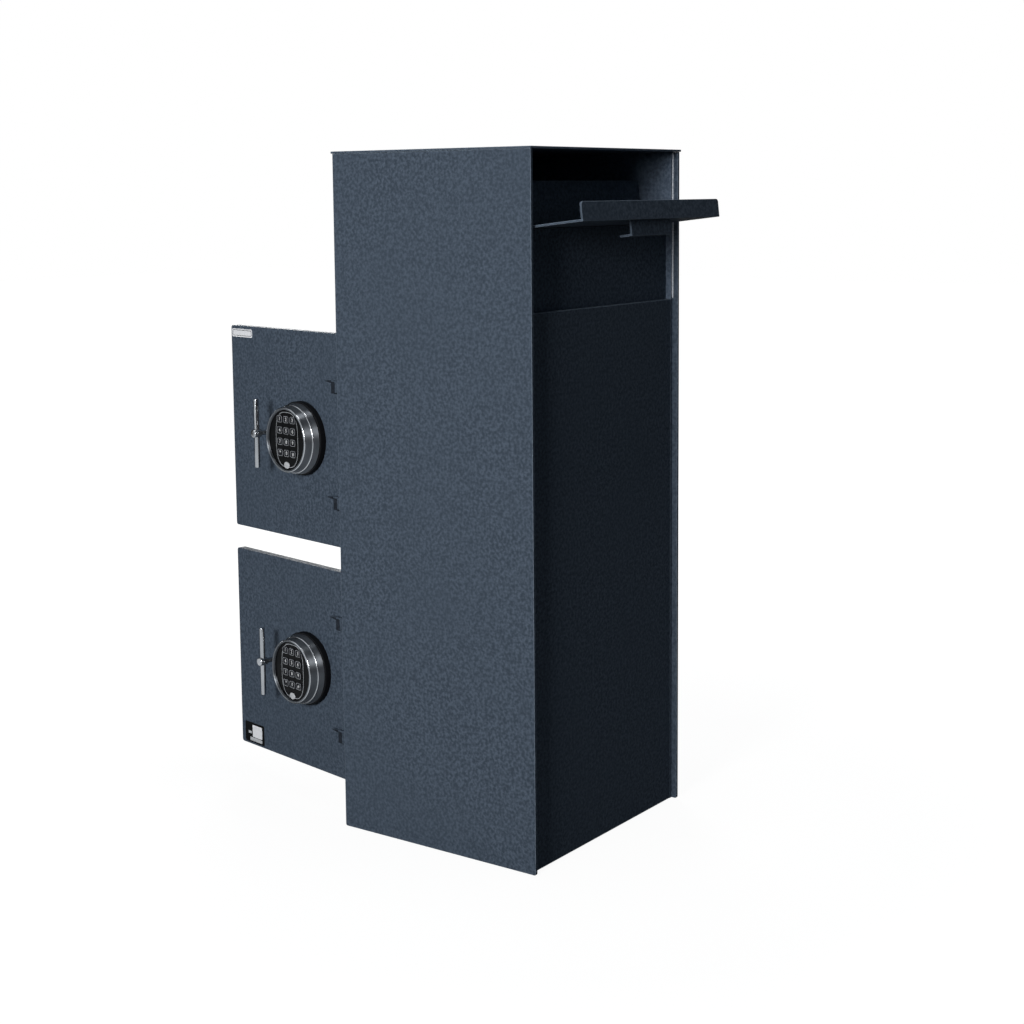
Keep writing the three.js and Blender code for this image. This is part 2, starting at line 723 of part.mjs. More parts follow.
/** The T-handle: cross bar, hub, shaft, spindle through the door, cam plate and its pin. */
function handle() {
  const spindle = cylinderY(handleX, handleZ, spindleRadius, outside(fitGap + collarHeight),
    inside(fitGap + camPlateThickness));
  const shaft = cylinderY(handleX, handleZ, shaftRadius, outside(handleStandoff),
    outside(collarHeight), roundSegments / 2);
  const hub = cylinderY(handleX, handleZ, hubRadius, outside(handleStandoff + hubFront),
    outside(handleStandoff - hubBack));
  const collar = cylinderY(handleX, handleZ, collarRadius, outside(fitGap + collarHeight),
    outside(fitGap));
  const end = handleBarRadius;
  const half = handleBarLength / 2;
  const barProfile = [];
  for (let i = 0; i <= cornerSegments; i += 1) {
    const angle = (i / cornerSegments) * Math.PI / 2;
    barProfile.push(new THREE.Vector2(end * Math.sin(angle), -half + end * (1 - Math.cos(angle))));
  }
  const bar = new THREE.LatheGeometry(
    [...barProfile, ...barProfile.map((p) => new THREE.Vector2(p.x, -p.y)).reverse()],
    roundSegments / 2)
    .rotateX(Math.PI / 2).translate(handleX, outside(handleStandoff), handleZ);
  const camPlate = cylinderY(handleX, handleZ, camPlateRadius, inside(fitGap),
    inside(fitGap + camPlateThickness));
  const pinReach = camRadius * Math.SQRT1_2;
  const camPin = cylinderY(handleX + pinReach, handleZ + pinReach, camPinRadius,
    inside(camPlateThickness / 2), inside(boltBarInner() + boltBarThickness + boltBarGap),
    roundSegments / 2);
  return join(spindle, shaft, hub, collar, bar, camPlate, camPin);
}

/** The bolt bar's height above the door's inner face. */
function boltBarInner() {
  return fitGap + camPlateThickness + boltBarGap;
}

/** The bolt bar's edge towards the hinge, with the bolts drawn back. */
function boltBarBack() {
  return handleX + camRadius * Math.SQRT1_2 + boltBarWidth / 2;
}

/** The bolts' centre line above the door's inner face. */
function boltCentre() {
  return boltBarInner() + boltBarThickness / 2;
}

/** The heights of the two bolts on the door. */
function boltLines() {
  const reach = doorHeight / 2 - boltInset;
  return [handleZ - reach, handleZ + reach];
}

/** The bolt bar with its cam slot and its two bolts. */
function boltwork() {
  const back = boltBarBack();
  const front = back - boltBarWidth;
  const low = boltBarInner();
  const high = low + boltBarThickness;
  const z0 = handleZ - boltBarHeight / 2;
  const bar = box(front, back, inside(low), inside(high), z0, z0 + boltBarHeight);
  const slotHalf = camPinRadius + camPinClearance;
  const slotX = handleX + camRadius * Math.SQRT1_2;
  const r = camSlotRadius;
  const slot = plateAcrossY(roundedRectangle(slotX - slotHalf, slotX + slotHalf,
    handleZ + camRadius * Math.SQRT1_2 - slotHalf, handleZ + camRadius + slotHalf,
    [r, r, r, r]), inside(low - seam), inside(high + seam));
  const bolts = boltLines().map((z) => cylinderX(inside(boltCentre()), z,
    boltRadius, freeEdgeX + boltEndInset, front + boltRadius));
  return cut(join(bar, ...bolts), slot);
}

/** The guide angle near the free edge, bored for the two bolts. */
function boltGuide() {
  const z0 = handleRaise + guideInset;
  const z1 = handleRaise + doorHeight - guideInset;
  const x0 = freeEdgeX + guideSetback;
  const foot = box(x0, x0 + guideLegWidth, inside(fitGap), inside(fitGap + guideThickness), z0, z1);
  const leg = box(x0, x0 + guideThickness, inside(fitGap), inside(guideRise), z0, z1);
  const bolts = boltLines().map((z) => cylinderX(inside(boltCentre()), z,
    boltRadius + fitGap, x0 - seam, x0 + guideLegWidth + seam));
  return cut(join(foot, leg), ...bolts);
}

/** The lock bolt's end towards the bolt bar, pushed in. */
function lockBoltTip() {
  return boltBarBack() + lockBarGap;
}

/** The lock case behind the keypad, open where its bolt comes out. */
function lockCase() {
  const x0 = lockBoltTip() + lockBoltTravel;
  const x1 = x0 + lockCaseWidth;
  const z0 = keypadZ - lockCaseHeight / 2;
  const c = lockCaseChamfer;
  const profile = polygon([
    [x0, z0 + c], [x0 + c, z0], [x1 - c, z0], [x1, z0 + c],
    [x1, z0 + lockCaseHeight - c], [x1 - c, z0 + lockCaseHeight],
    [x0 + c, z0 + lockCaseHeight], [x0, z0 + lockCaseHeight - c],
  ]);
  const casing = plateAcrossY(profile, inside(fitGap), inside(lockCaseDepth));
  const channel = box(x0 - seam, lockBoltTip() + lockBoltLength + fitGap,
    inside(lockBoltRise - fitGap), inside(lockBoltRise + lockBoltThickness + fitGap),
    keypadZ - lockBoltHeight / 2 - fitGap, keypadZ + lockBoltHeight / 2 + fitGap);
  return cut(casing, channel);
}

/** The lock's sliding bolt, pushed in by the bolt bar. */
function lockBolt() {
  return box(lockBoltTip(), lockBoltTip() + lockBoltLength,
    inside(lockBoltRise), inside(lockBoltRise + lockBoltThickness),
    keypadZ - lockBoltHeight / 2, keypadZ + lockBoltHeight / 2);
}

/** One door with its hinges, keypad, handle, boltwork and lock, swung open. */
function door(name, bottom) {
  const group = new THREE.Group();
  group.position.set(hingeX, hingeY, bottom);
  group.rotation.z = THREE.MathUtils.degToRad(doorOpenAngle);
  const { powder, steel, chrome, blackPlastic, keyPlastic, zinc } = finish;
  group.add(
    piece(`${name}_door_plate`, doorPlate(), powder),
    piece(`${name}_keypad_base`, keypadBase(), blackPlastic),
    piece(`${name}_keypad_ring`, keypadRing(), chrome),
    piece(`${name}_keypad_face`, keypadFace(), blackPlastic),
    piece(`${name}_handle`, handle(), chrome),
    piece(`${name}_boltwork_bar`, boltwork(), steel),
    piece(`${name}_bolt_guide`, boltGuide(), steel),
    piece(`${name}_lock_case`, lockCase(), zinc),
    piece(`${name}_lock_bolt`, lockBolt(), zinc),
  );
  const labels = ['1', '2', '3', '4', '5', '6', '7', '8', '9', 'star', '0', 'hash'];
  keyPlaces().forEach((place, i) => {
    group.add(piece(`${name}_key_${labels[i]}`, key(place), keyPlastic));
  });
  return group;
}

const safe = new THREE.Group();
safe.add(body(), drawer(), door('upper', upperDoorBottom), door('lower', lowerDoorBottom));

export default safe;
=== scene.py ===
"""Drop safe with two keypad doors and a tilting deposit drawer, dressed around its CAD frame.

Lengths are in metres and the frame is the CAD's: +Z up, doors towards -Y, deposit side towards +Y.
"""

from __future__ import annotations

import logging
import math
from dataclasses import dataclass
from enum import Enum
from typing import Any

import bmesh
import bpy
import numpy as np
from mathutils import Matrix, Vector

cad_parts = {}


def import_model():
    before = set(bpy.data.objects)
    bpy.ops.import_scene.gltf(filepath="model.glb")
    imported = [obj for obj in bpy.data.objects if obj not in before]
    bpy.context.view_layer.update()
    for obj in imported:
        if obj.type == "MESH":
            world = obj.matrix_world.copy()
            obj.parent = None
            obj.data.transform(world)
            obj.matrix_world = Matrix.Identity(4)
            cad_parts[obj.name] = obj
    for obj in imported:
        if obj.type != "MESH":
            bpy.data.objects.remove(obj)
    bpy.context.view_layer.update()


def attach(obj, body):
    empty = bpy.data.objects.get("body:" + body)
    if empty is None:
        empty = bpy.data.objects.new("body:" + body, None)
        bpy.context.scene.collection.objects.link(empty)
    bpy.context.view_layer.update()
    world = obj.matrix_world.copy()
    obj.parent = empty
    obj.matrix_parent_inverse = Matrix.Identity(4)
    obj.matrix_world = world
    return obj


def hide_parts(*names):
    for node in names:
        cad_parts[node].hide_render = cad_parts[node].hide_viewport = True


LOG = logging.getLogger("drop_safe")
MM = 0.001
WRAP = "wrap"
IMAGE_PIXELS = 1024
# Between these values lies nearly all of a noise's output
NOISE_LOW, NOISE_HIGH = 0.3, 0.7
# Socket numbers of a Mix node that mixes colours
MIX_SHARE, MIX_FIRST, MIX_SECOND, MIX_RESULT = 0, 6, 7, 2
FULL_WHITE = (1.0, 1.0, 1.0, 1.0)
# Points closer than this are merged, in a new piece and in the copy of a CAD node
MERGE, CAD_MERGE = 2e-6, 1e-5
# A new piece's edges shorter than this are dissolved
THINNEST_EDGE = 1e-7
Point = tuple[float, float, float]
Pair = tuple[float, float]


# Nodes and colours


def linear(code: str) -> tuple[float, float, float, float]:
    """Turns an sRGB hex colour into linear light: c / 12.92, or ((c + 0.055) / 1.055) ** 2.4.

    Args:
        code: Six hex digits.

    Returns:
        Red, green, blue and full alpha.
    """
    channels = np.array([int(code[i:i + 2], 16) for i in (0, 2, 4)]) / 255
    light = np.where(channels <= 0.04045, channels / 12.92, ((channels + 0.055) / 1.055) ** 2.4)
    return (float(light[0]), float(light[1]), float(light[2]), 1.0)


def per_metre(spacing_mm: float) -> float:
    """Turns a pattern's real spacing into a texture scale."""
    return 1000.0 / spacing_mm


def add_node(tree: bpy.types.NodeTree, kind: str, inputs: dict[Any, Any] | None = None,
             **settings: Any) -> bpy.types.Node:
    """Adds a node with its settings and links.

    Args:
        tree: The node tree that gets it.
        kind: The node's type name.
        inputs: Socket names or numbers, each with a value or an output socket to link.
        **settings: Properties of the node.

    Returns:
        The new node.
    """
    node = tree.nodes.new(kind)
    for key, value in settings.items():
        setattr(node, key, value)
    for socket, value in (inputs or {}).items():
        if isinstance(value, bpy.types.NodeSocket):
            tree.links.new(value, node.inputs[socket])
        else:
            node.inputs[socket].default_value = value
    return node


@dataclass(frozen=True)
class Finish:
    """A surface whose tone, gloss and relief follow its own patterns.

    Attributes:
        name: The material's name.
        colour: Its main hex colour.
        roughness: Mean roughness.
        tone_range: Pattern values between which one tone passes into the other.
        gloss_change: Added to the roughness where its pattern is low and where it is high.
        bump: Strength of the relief.
        bump_mm: Height of the relief.
    """

    name: str
    colour: str
    roughness: float = 0.4
    tone_range: Pair = (0.35, 0.6)
    gloss_change: Pair = (0.0, 0.0)
    bump: float = 0.0
    bump_mm: float = 0.0

    def material(self) -> bpy.types.Material:
        """Gives the material, built on first use.

        Returns:
            The material that carries this finish's name.
        """
        found = bpy.data.materials.get(self.name)
        if found:
            return found
        made = bpy.data.materials.new(self.name)
        made.use_nodes = True
        tree = made.node_tree
        tree.nodes.clear()
        shader = add_node(tree, "ShaderNodeBsdfPrincipled", {"Base Color": linear(self.colour)})
        add_node(tree, "ShaderNodeOutputMaterial", {"Surface": shader.outputs["BSDF"]})
        made.diffuse_color = linear(self.colour)
        self.dress(tree, shader, add_node(tree, "ShaderNodeTexCoord").outputs["Object"])
        return made

    def tone(self, tree: bpy.types.NodeTree, pattern: bpy.types.NodeSocket, low: str,
             high: str) -> bpy.types.NodeSocket:
        """Passes from one colour to another as a pattern crosses the tone range.

        Args:
            tree: The node tree.
            pattern: The socket that steers the tone.
            low: Hex colour where the pattern is low.
            high: Hex colour where it is high.

        Returns:
            The colour's output socket.
        """
        share = add_node(tree, "ShaderNodeMapRange", {
            "Value": pattern, "From Min": self.tone_range[0], "From Max": self.tone_range[1]})
        mixed = add_node(tree, "ShaderNodeMix", {
            MIX_SHARE: share.outputs["Result"], MIX_FIRST: linear(low), MIX_SECOND: linear(high)},
            data_type="RGBA")
        return mixed.outputs[MIX_RESULT]

    def relief(self, tree: bpy.types.NodeTree, shader: bpy.types.Node,
               gloss: bpy.types.NodeSocket, grain: bpy.types.NodeSocket | None = None) -> None:
        """Varies the roughness with one pattern and raises the surface with another.

        Args:
            tree: The node tree.
            shader: The finish's shader.
            gloss: The pattern that steers the roughness.
            grain: The pattern that raises the surface, if one does.
        """
        rough = add_node(tree, "ShaderNodeMapRange", {
            "Value": gloss, "From Min": NOISE_LOW, "From Max": NOISE_HIGH,
            "To Min": self.roughness + self.gloss_change[0],
            "To Max": self.roughness + self.gloss_change[1]})
        tree.links.new(rough.outputs["Result"], shader.inputs["Roughness"])
        if grain is not None:
            raised = add_node(tree, "ShaderNodeBump", {
                "Strength": self.bump, "Distance": self.bump_mm * MM, "Height": grain})
            tree.links.new(raised.outputs["Normal"], shader.inputs["Normal"])

    def dress(self, tree: bpy.types.NodeTree, shader: bpy.types.Node,
              place: bpy.types.NodeSocket) -> None:
        """Adds the finish's own nodes. Each finish has its own."""
        raise NotImplementedError


@dataclass(frozen=True)
class PowderCoat(Finish):
    """Polyester powder coat, sprayed and baked to a sandy texture that glints in fine specks.

    Attributes:
        light: Hex colour of the raised specks.
        dark: Hex colour between them.
        speck_mm: Spacing of the specks.
        speck_fineness: How strongly their finer detail shows.
        cloud_mm: Spacing of the faint clouds.
        cloud_share: Share of the main colour where the clouds are low and where they are high.
        peel_mm: Spacing of the bump, drawn coarser than the real 0.5 mm so that it shows.
        ior: Index of refraction of the resin.
        specular: Strength of the mirror part, low because the sandy texture breaks it up.
    """

    roughness: float = 0.52
    tone_range: Pair = (0.36, 0.66)
    gloss_change: Pair = (0.06, -0.06)
    bump: float = 0.35
    bump_mm: float = 0.2
    light: str = "5B6776"
    dark: str = "353E49"
    speck_mm: float = 4.5
    speck_fineness: float = 0.55
    cloud_mm: float = 140.0
    cloud_share: Pair = (0.35, 0.6)
    peel_mm: float = 1.6
    ior: float = 1.5
    specular: float = 0.04

    def dress(self, tree: bpy.types.NodeTree, shader: bpy.types.Node,
              place: bpy.types.NodeSocket) -> None:
        """Adds specks, faint clouds, uneven gloss and the grain's bump.

        Args:
            tree: The node tree.
            shader: The finish's shader.
            place: The patterns' coordinates.
        """
        speck = add_node(tree, "ShaderNodeTexNoise", {
            "Vector": place, "Scale": per_metre(self.speck_mm), "Detail": 2.0,
            "Roughness": self.speck_fineness})
        cloud = add_node(tree, "ShaderNodeTexNoise", {
            "Vector": place, "Scale": per_metre(self.cloud_mm), "Detail": 1.0})
        peel = add_node(tree, "ShaderNodeTexNoise", {
            "Vector": place, "Scale": per_metre(self.peel_mm), "Detail": 2.0})
        share = add_node(tree, "ShaderNodeMapRange", {
            "Value": cloud.outputs["Fac"], "From Min": NOISE_LOW, "From Max": NOISE_HIGH,
            "To Min": self.cloud_share[0], "To Max": self.cloud_share[1]})
        mixed = add_node(tree, "ShaderNodeMix", {
            MIX_SHARE: share.outputs["Result"],
            MIX_FIRST: self.tone(tree, speck.outputs["Fac"], self.dark, self.light),
            MIX_SECOND: linear(self.colour)}, data_type="RGBA")
        tree.links.new(mixed.outputs[MIX_RESULT], shader.inputs["Base Color"])
        self.relief(tree, shader, speck.outputs["Fac"], peel.outputs["Fac"])
        shader.inputs["IOR"].default_value = self.ior
        shader.inputs["Specular IOR Level"].default_value = self.specular


@dataclass(frozen=True)
class Plating(Finish):
    """Metal with a plated or cut surface, its fine tool marks running one way.

    Attributes:
        mark_mm: Spacing of the tool marks, drawn coarse enough to show.
        dull_mm: Spacing of the duller patches.
        stretch: Scale of the marks along X, Y and Z, small where they run on.
        tint: Hex colour of the duller patches.
    """

    roughness: float = 0.25
    gloss_change: Pair = (-0.04, 0.06)
    bump: float = 0.12
    bump_mm: float = 0.05
    mark_mm: float = 0.8
    dull_mm: float = 30.0
    stretch: Point = (1.0, 1.0, 0.04)
    tint: str = "8A8D91"

    def grain(self, tree: bpy.types.NodeTree, shader: bpy.types.Node,
              place: bpy.types.NodeSocket) -> bpy.types.NodeSocket:
        """Gives the tool marks' coordinates, drawn out along the piece."""
        drawn = add_node(tree, "ShaderNodeMapping", {"Vector": place, "Scale": self.stretch})
        return drawn.outputs["Vector"]

    def dress(self, tree: bpy.types.NodeTree, shader: bpy.types.Node,
              place: bpy.types.NodeSocket) -> None:
        """Adds tool marks in gloss and bump and slightly duller patches.

        Args:
            tree: The node tree.
            shader: The finish's shader.
            place: The patterns' coordinates.
        """
        marks = add_node(tree, "ShaderNodeTexNoise", {
            "Vector": self.grain(tree, shader, place), "Scale": per_metre(self.mark_mm),
            "Detail": 2.0})
        dull = add_node(tree, "ShaderNodeTexNoise", {
            "Vector": place, "Scale": per_metre(self.dull_mm), "Detail": 1.0})
        tree.links.new(self.tone(tree, dull.outputs["Fac"], self.tint, self.colour),
                       shader.inputs["Base Color"])
        self.relief(tree, shader, marks.outputs["Fac"], marks.outputs["Fac"])
        shader.inputs["Metallic"].default_value = 1.0


@dataclass(frozen=True)
class Turned(Plating):
    """Plated metal with a lathe's rings round it, so that its gloss spreads across the rings.

    Attributes:
        spread: How far the gloss is drawn out, 0 for none.
        spread_turn: Share of a full turn from the rings to the way that the gloss spreads.
    """

    stretch: Point = (0.01, 1.0, 1.0)
    spread: float = 0.72
    spread_turn: float = 0.25

    def grain(self, tree: bpy.types.NodeTree, shader: bpy.types.Node,
              place: bpy.types.NodeSocket) -> bpy.types.NodeSocket:
        """Runs the marks round the piece on its own UV map and turns the gloss across them.

        Args:
            tree: The node tree.
            shader: The finish's shader.
            place: Object coordinates, which these marks don't follow.

        Returns:
            The marks' coordinates.
        """
        tangent = add_node(tree, "ShaderNodeTangent", direction_type="UV_MAP", uv_map=WRAP)
        tree.links.new(tangent.outputs["Tangent"], shader.inputs["Tangent"])
        shader.inputs["Anisotropic"].default_value = self.spread
        shader.inputs["Anisotropic Rotation"].default_value = self.spread_turn
        around = add_node(tree, "ShaderNodeUVMap", uv_map=WRAP)
        drawn = add_node(tree, "ShaderNodeMapping", {
            "Vector": around.outputs["UV"], "Scale": self.stretch})
        return drawn.outputs["Vector"]


@dataclass(frozen=True)
class Moulded(Finish):
    """Injection-moulded plastic or rubber with a fine spark-eroded grain.

    Attributes:
        light: Hex colour of the grain's tops.
        grain_mm: Spacing of the grain, drawn coarser than the real 0.1 mm so that it shows.
        wear_mm: Spacing of the handling marks.
        ior: Index of refraction of the plastic.
        specular: Strength of the mirror part, low because the grain breaks it up.
    """

    roughness: float = 0.42
    tone_range: Pair = (0.35, 0.7)
    gloss_change: Pair = (-0.07, 0.07)
    bump: float = 0.2
    bump_mm: float = 0.08
    light: str = "1C1E21"
    grain_mm: float = 0.7
    wear_mm: float = 22.0
    ior: float = 1.53
    specular: float = 0.06

    def dress(self, tree: bpy.types.NodeTree, shader: bpy.types.Node,
              place: bpy.types.NodeSocket) -> None:
        """Adds the moulded grain and faint handling marks in the gloss.

        Args:
            tree: The node tree.
            shader: The finish's shader.
            place: The patterns' coordinates.
        """
        grain = add_node(tree, "ShaderNodeTexNoise", {
            "Vector": place, "Scale": per_metre(self.grain_mm), "Detail": 2.0})
        wear = add_node(tree, "ShaderNodeTexNoise", {
            "Vector": place, "Scale": per_metre(self.wear_mm), "Detail": 3.0})
        tree.links.new(self.tone(tree, grain.outputs["Fac"], self.colour, self.light),
                       shader.inputs["Base Color"])
        self.relief(tree, shader, wear.outputs["Fac"], grain.outputs["Fac"])
        shader.inputs["IOR"].default_value = self.ior
        shader.inputs["Specular IOR Level"].default_value = self.specular


@dataclass(frozen=True)
class Printed(Finish):
    """Ink, enamel or foil on a smooth film, slightly uneven in tone.

    Attributes:
        dark: Hex colour of the thinner ink.
        fleck_mm: Spacing of its uneven tone.
        metallic: 1 for foil.
        specular: Strength of the mirror part.
    """

    tone_range: Pair = (0.3, 0.6)
    gloss_change: Pair = (0.08, -0.05)
    dark: str = "B9BCC0"
    fleck_mm: float = 3.0
    metallic: float = 0.0
    specular: float = 0.1

    def dress(self, tree: bpy.types.NodeTree, shader: bpy.types.Node,
              place: bpy.types.NodeSocket) -> None:
        """Adds the ink's uneven tone and gloss.

        Args:
            tree: The node tree.
            shader: The finish's shader.
            place: The pattern's coordinates.
        """
        fleck = add_node(tree, "ShaderNodeTexNoise", {
            "Vector": place, "Scale": per_metre(self.fleck_mm), "Detail": 3.0})
        tree.links.new(self.tone(tree, fleck.outputs["Fac"], self.dark, self.colour),
                       shader.inputs["Base Color"])
        self.relief(tree, shader, fleck.outputs["Fac"])
        shader.inputs["Metallic"].default_value = self.metallic
        shader.inputs["Specular IOR Level"].default_value = self.specular


class Look(Enum):
    """The finishes of this safe."""

    SHELL = PowderCoat("powder_coat_blue_grey_sprayed", "46515E")
    INNER = PowderCoat("powder_coat_dark_inside_sprayed", "434E5C", light="576575", dark="313A46",
                       roughness=0.6)
    # Lighter coat for the inner side walls: painted light that reaches them in the deposit opening.
    LIT_WALLS = PowderCoat("powder_coat_painted_light_inner_walls", "566272", light="6D7B8D", dark="434D5B")
    # Dark coat for patches on the hinge leaves: painted shade at their ends and tops.
    HINGE_SHADE = PowderCoat("powder_coat_painted_hinge_shade", "262B33", light="2E343D",
                          dark="1C2026")
    # Lighter coat for the eased edges: a painted highlight along the plates' edges.
    EDGE_HIGHLIGHT = PowderCoat("powder_coat_painted_edge_highlight", "6C7987", light="7F8C9A", dark="57626F",
                        speck_mm=3.0)
    # Near-white coat for the beads in the skins' joints: a painted highlight along them.
    SEAM_HIGHLIGHT = PowderCoat("powder_coat_painted_seam_highlight", "C9CED5", light="E8EBEF",
                        dark="98A1AD", speck_mm=3.0)
    DRUM = Turned("satin_chrome_turned", "7F8388", roughness=0.45, mark_mm=0.9, tint="75797E",
                  spread=0.96)
    BAR = Plating("bright_chrome_polished", "B4B6B9", roughness=0.13, mark_mm=1.2,
                  stretch=(1.0, 1.0, 0.05), tint="A9ABAE")
    HUB = Turned("bright_chrome_turned", "B9BBBE", roughness=0.2, mark_mm=0.7, tint="AEB0B3",
                 spread=0.4)
    OXIDE = Turned("black_oxide_steel_turned", "2B2C2E", roughness=0.38, mark_mm=0.8,
                   tint="1E1F21", spread=0.4)
    STEEL = Plating("cold_drawn_steel_bright", "9A9DA0", roughness=0.32, mark_mm=1.0,
                    stretch=(1.0, 1.0, 0.05), tint="858889")
    WELD = Plating("mild_steel_weld_painted_over", "39424D", roughness=0.5, mark_mm=1.5,
                   stretch=(1.0, 1.0, 1.0), tint="2C343D")
    ZINC = Plating("zinc_alloy_die_cast", "A3A5A4", roughness=0.46, mark_mm=2.0,
                   stretch=(1.0, 1.0, 1.0), tint="8B8D8D")
    BASE = Moulded("abs_black_moulded_matt", "101113", light="1A1B1E", roughness=0.5)
    FACE = Moulded("abs_black_face_moulded", "050607", light="0B0C0E", roughness=0.34)
    KEYS = Moulded("silicone_rubber_keys_moulded", "1B1C20", light="26272B", roughness=0.45)
    SILVER = Printed("silver_ink_screen_printed", "C9CCD0", dark="A6A9AD", roughness=0.35,
                     metallic=0.6)
    WHITE = Printed("white_ink_screen_printed", "E4E6E8", dark="C8CACD", roughness=0.45)
    BADGE = Printed("pale_grey_film_printed", "C7CACD", dark="B4B7BB", roughness=0.38)
    ENAMEL = Printed("white_enamel_plate_baked", "F8F9FC", dark="ECEEF2", roughness=0.3)
    VINYL = Printed("black_vinyl_film_printed", "0C0D0F", dark="070809", roughness=0.36)


# Shapes


def put(points: np.ndarray, place: np.ndarray) -> np.ndarray:
    """Moves points by a four by four matrix."""
    return points @ place[:3, :3].T + place[:3, 3]


def shifted(x: float, y: float, z: float) -> np.ndarray:
    """Gives a move as a matrix.

    Args:
        x: Millimetres along X.
        y: Millimetres along Y.
        z: Millimetres along Z.

    Returns:
        A four by four matrix in metres.
    """
    place = np.eye(4)
    place[:3, 3] = np.array([x, y, z]) * MM
    return place


def grid_faces(rows: int, columns: int) -> np.ndarray:
    """Joins each row of a grid to the next in quads, the last column back to the first.

    Args:
        rows: Number of rows.
        columns: Points in each row.

    Returns:
        One row of four point numbers for each quad.
    """
    row, column = np.meshgrid(np.arange(rows - 1), np.arange(columns), indexing="ij")
    here = row * columns + column
    beside = row * columns + (column + 1) % columns
    return np.stack([here, beside, beside + columns, here + columns], -1).reshape(-1, 4)


def wrap_map(grid: np.ndarray) -> np.ndarray:
    """Spreads a grid flat, in metres: u = turn share x 2 pi r, v = length along the profile.

    Args:
        grid: Rings by points by three.

    Returns:
        One row of u and v for each corner of the faces of grid_faces.
    """
    rows, columns = grid.shape[:2]
    steps = np.linalg.norm(np.diff(grid[:, 0], axis=0), axis=1)
    along = np.concatenate([[0.0], np.cumsum(steps)])
    reach = np.linalg.norm(grid - grid.mean(1, keepdims=True), axis=-1).max()
    around = np.arange(columns + 1) / columns * 2 * np.pi * reach
    row, column = np.meshgrid(np.arange(rows - 1), np.arange(columns), indexing="ij")
    rows_of = row[..., None] + np.array([0, 0, 1, 1])
    columns_of = column[..., None] + np.array([0, 1, 1, 0])
    return np.stack([around[columns_of], along[rows_of]], -1).reshape(-1, 2)


def closed_piece(name: str, grid: np.ndarray, place: np.ndarray, look: Look,
                 sharp: float = 35.0) -> bpy.types.Object:
    """Makes a closed surface from rings of points and merges its poles and doubles.

    Args:
        name: The piece's name.
        grid: Rings by points by three, in metres.
        place: Four by four matrix that puts the piece in the safe.
        look: Its finish.
        sharp: Edges steeper than this many degrees stay sharp.

    Returns:
        The new object, at the origin.
    """
    rows, columns = grid.shape[:2]
    mesh = bpy.data.meshes.new(name)
    mesh.from_pydata(put(grid.reshape(-1, 3), place).tolist(), [],
                     grid_faces(rows, columns).tolist())
    mesh.uv_layers.new(name=WRAP).data.foreach_set("uv", wrap_map(grid).ravel())
    edit = bmesh.new()
    edit.from_mesh(mesh)
    bmesh.ops.remove_doubles(edit, verts=edit.verts, dist=MERGE)
    bmesh.ops.dissolve_degenerate(edit, edges=edit.edges, dist=THINNEST_EDGE)
    rims = [edge for edge in edit.edges if edge.is_boundary]
    if rims:
        bmesh.ops.holes_fill(edit, edges=rims, sides=0)
    bmesh.ops.recalc_face_normals(edit, faces=edit.faces)
    edit.to_mesh(mesh)
    edit.free()
    return shown(mesh, name, look, sharp)


def shown(mesh: bpy.types.Mesh, name: str, look: Look, sharp: float) -> bpy.types.Object:
    """Links a mesh as an object with its finish and smooth shading below an angle.

    Args:
        mesh: The piece's mesh.
        name: The piece's name.
        look: Its finish.
        sharp: Edges steeper than this many degrees stay sharp.

    Returns:
        The new object, at the origin.
    """
    mesh.shade_smooth()
    mesh.set_sharp_from_angle(angle=math.radians(sharp))
    mesh.materials.clear()
    mesh.materials.append(look.value.material())
    made = bpy.data.objects.new(name, mesh)
    bpy.context.scene.collection.objects.link(made)
    return made


def revolved(profile: list[Pair], steps: int = 96) -> np.ndarray:
    """Turns a profile about Z: x = r cos a, y = r sin a, z = height.

    Args:
        profile: Radius and height of each point in millimetres.
        steps: Points round each ring.

    Returns:
        Rings by steps by three, in metres.
    """
    radius, height = np.array(profile, float).T * MM
    angle = np.linspace(0, 2 * np.pi, steps, endpoint=False)
    return np.stack([radius[:, None] * np.cos(angle), radius[:, None] * np.sin(angle),
                     np.repeat(height[:, None], steps, 1)], -1)


def arc(centre: Pair, radius: float, start: float, end: float, count: int = 6) -> list[Pair]:
    """Rounds a profile: centre plus r (cos a, sin a).

    Args:
        centre: Radius and height of the arc's centre.
        radius: The arc's own radius.
        start: Its first angle in degrees from the radius axis.
        end: Its last angle.
        count: Number of points.

    Returns:
        The points' radii and heights.
    """
    angle = np.radians(np.linspace(start, end, count))
    return list(zip(centre[0] + radius * np.cos(angle), centre[1] + radius * np.sin(angle)))


def rounded_ring(width: float, height: float, radius: float, steps: int = 8) -> np.ndarray:
    """A rectangle with round corners: each corner's centre plus r (cos a, sin a).

    Args:
        width: Full width in millimetres.
        height: Full height in millimetres.
        radius: Corner radius in millimetres.
        steps: Points in each corner.

    Returns:
        Points by two, in millimetres, counter-clockwise.
    """
    angle = (np.arange(4)[:, None] * np.pi / 2 + np.linspace(0, np.pi / 2, steps)).ravel()
    side = np.repeat(np.array([[1, 1], [-1, 1], [-1, -1], [1, -1]], float), steps, 0)
    centre = side * [width / 2 - radius, height / 2 - radius]
    return centre + radius * np.stack([np.cos(angle), np.sin(angle)], -1)


def stacked(rings: list[tuple[np.ndarray, float]]) -> np.ndarray:
    """Stacks flat rings at their heights, all in millimetres, into a grid in metres."""
    return np.stack([np.column_stack([ring, np.full(len(ring), height)])
                     for ring, height in rings]) * MM


def film(ring: np.ndarray, low: float, high: float) -> np.ndarray:
    """Makes a thin flat layer inside an outline, from one height to another."""
    middle = ring * 0 + ring.mean(0)
    return stacked([(middle, low), (ring, low), (ring, high), (middle, high)])


def frame_bead(outer: np.ndarray, inner: np.ndarray, low: float, high: float) -> np.ndarray:
    """Makes a thin band between two outlines, up the outside, over and down the inside."""
    return stacked([(outer, low), (outer, high), (inner, high), (inner, low), (outer, low)])


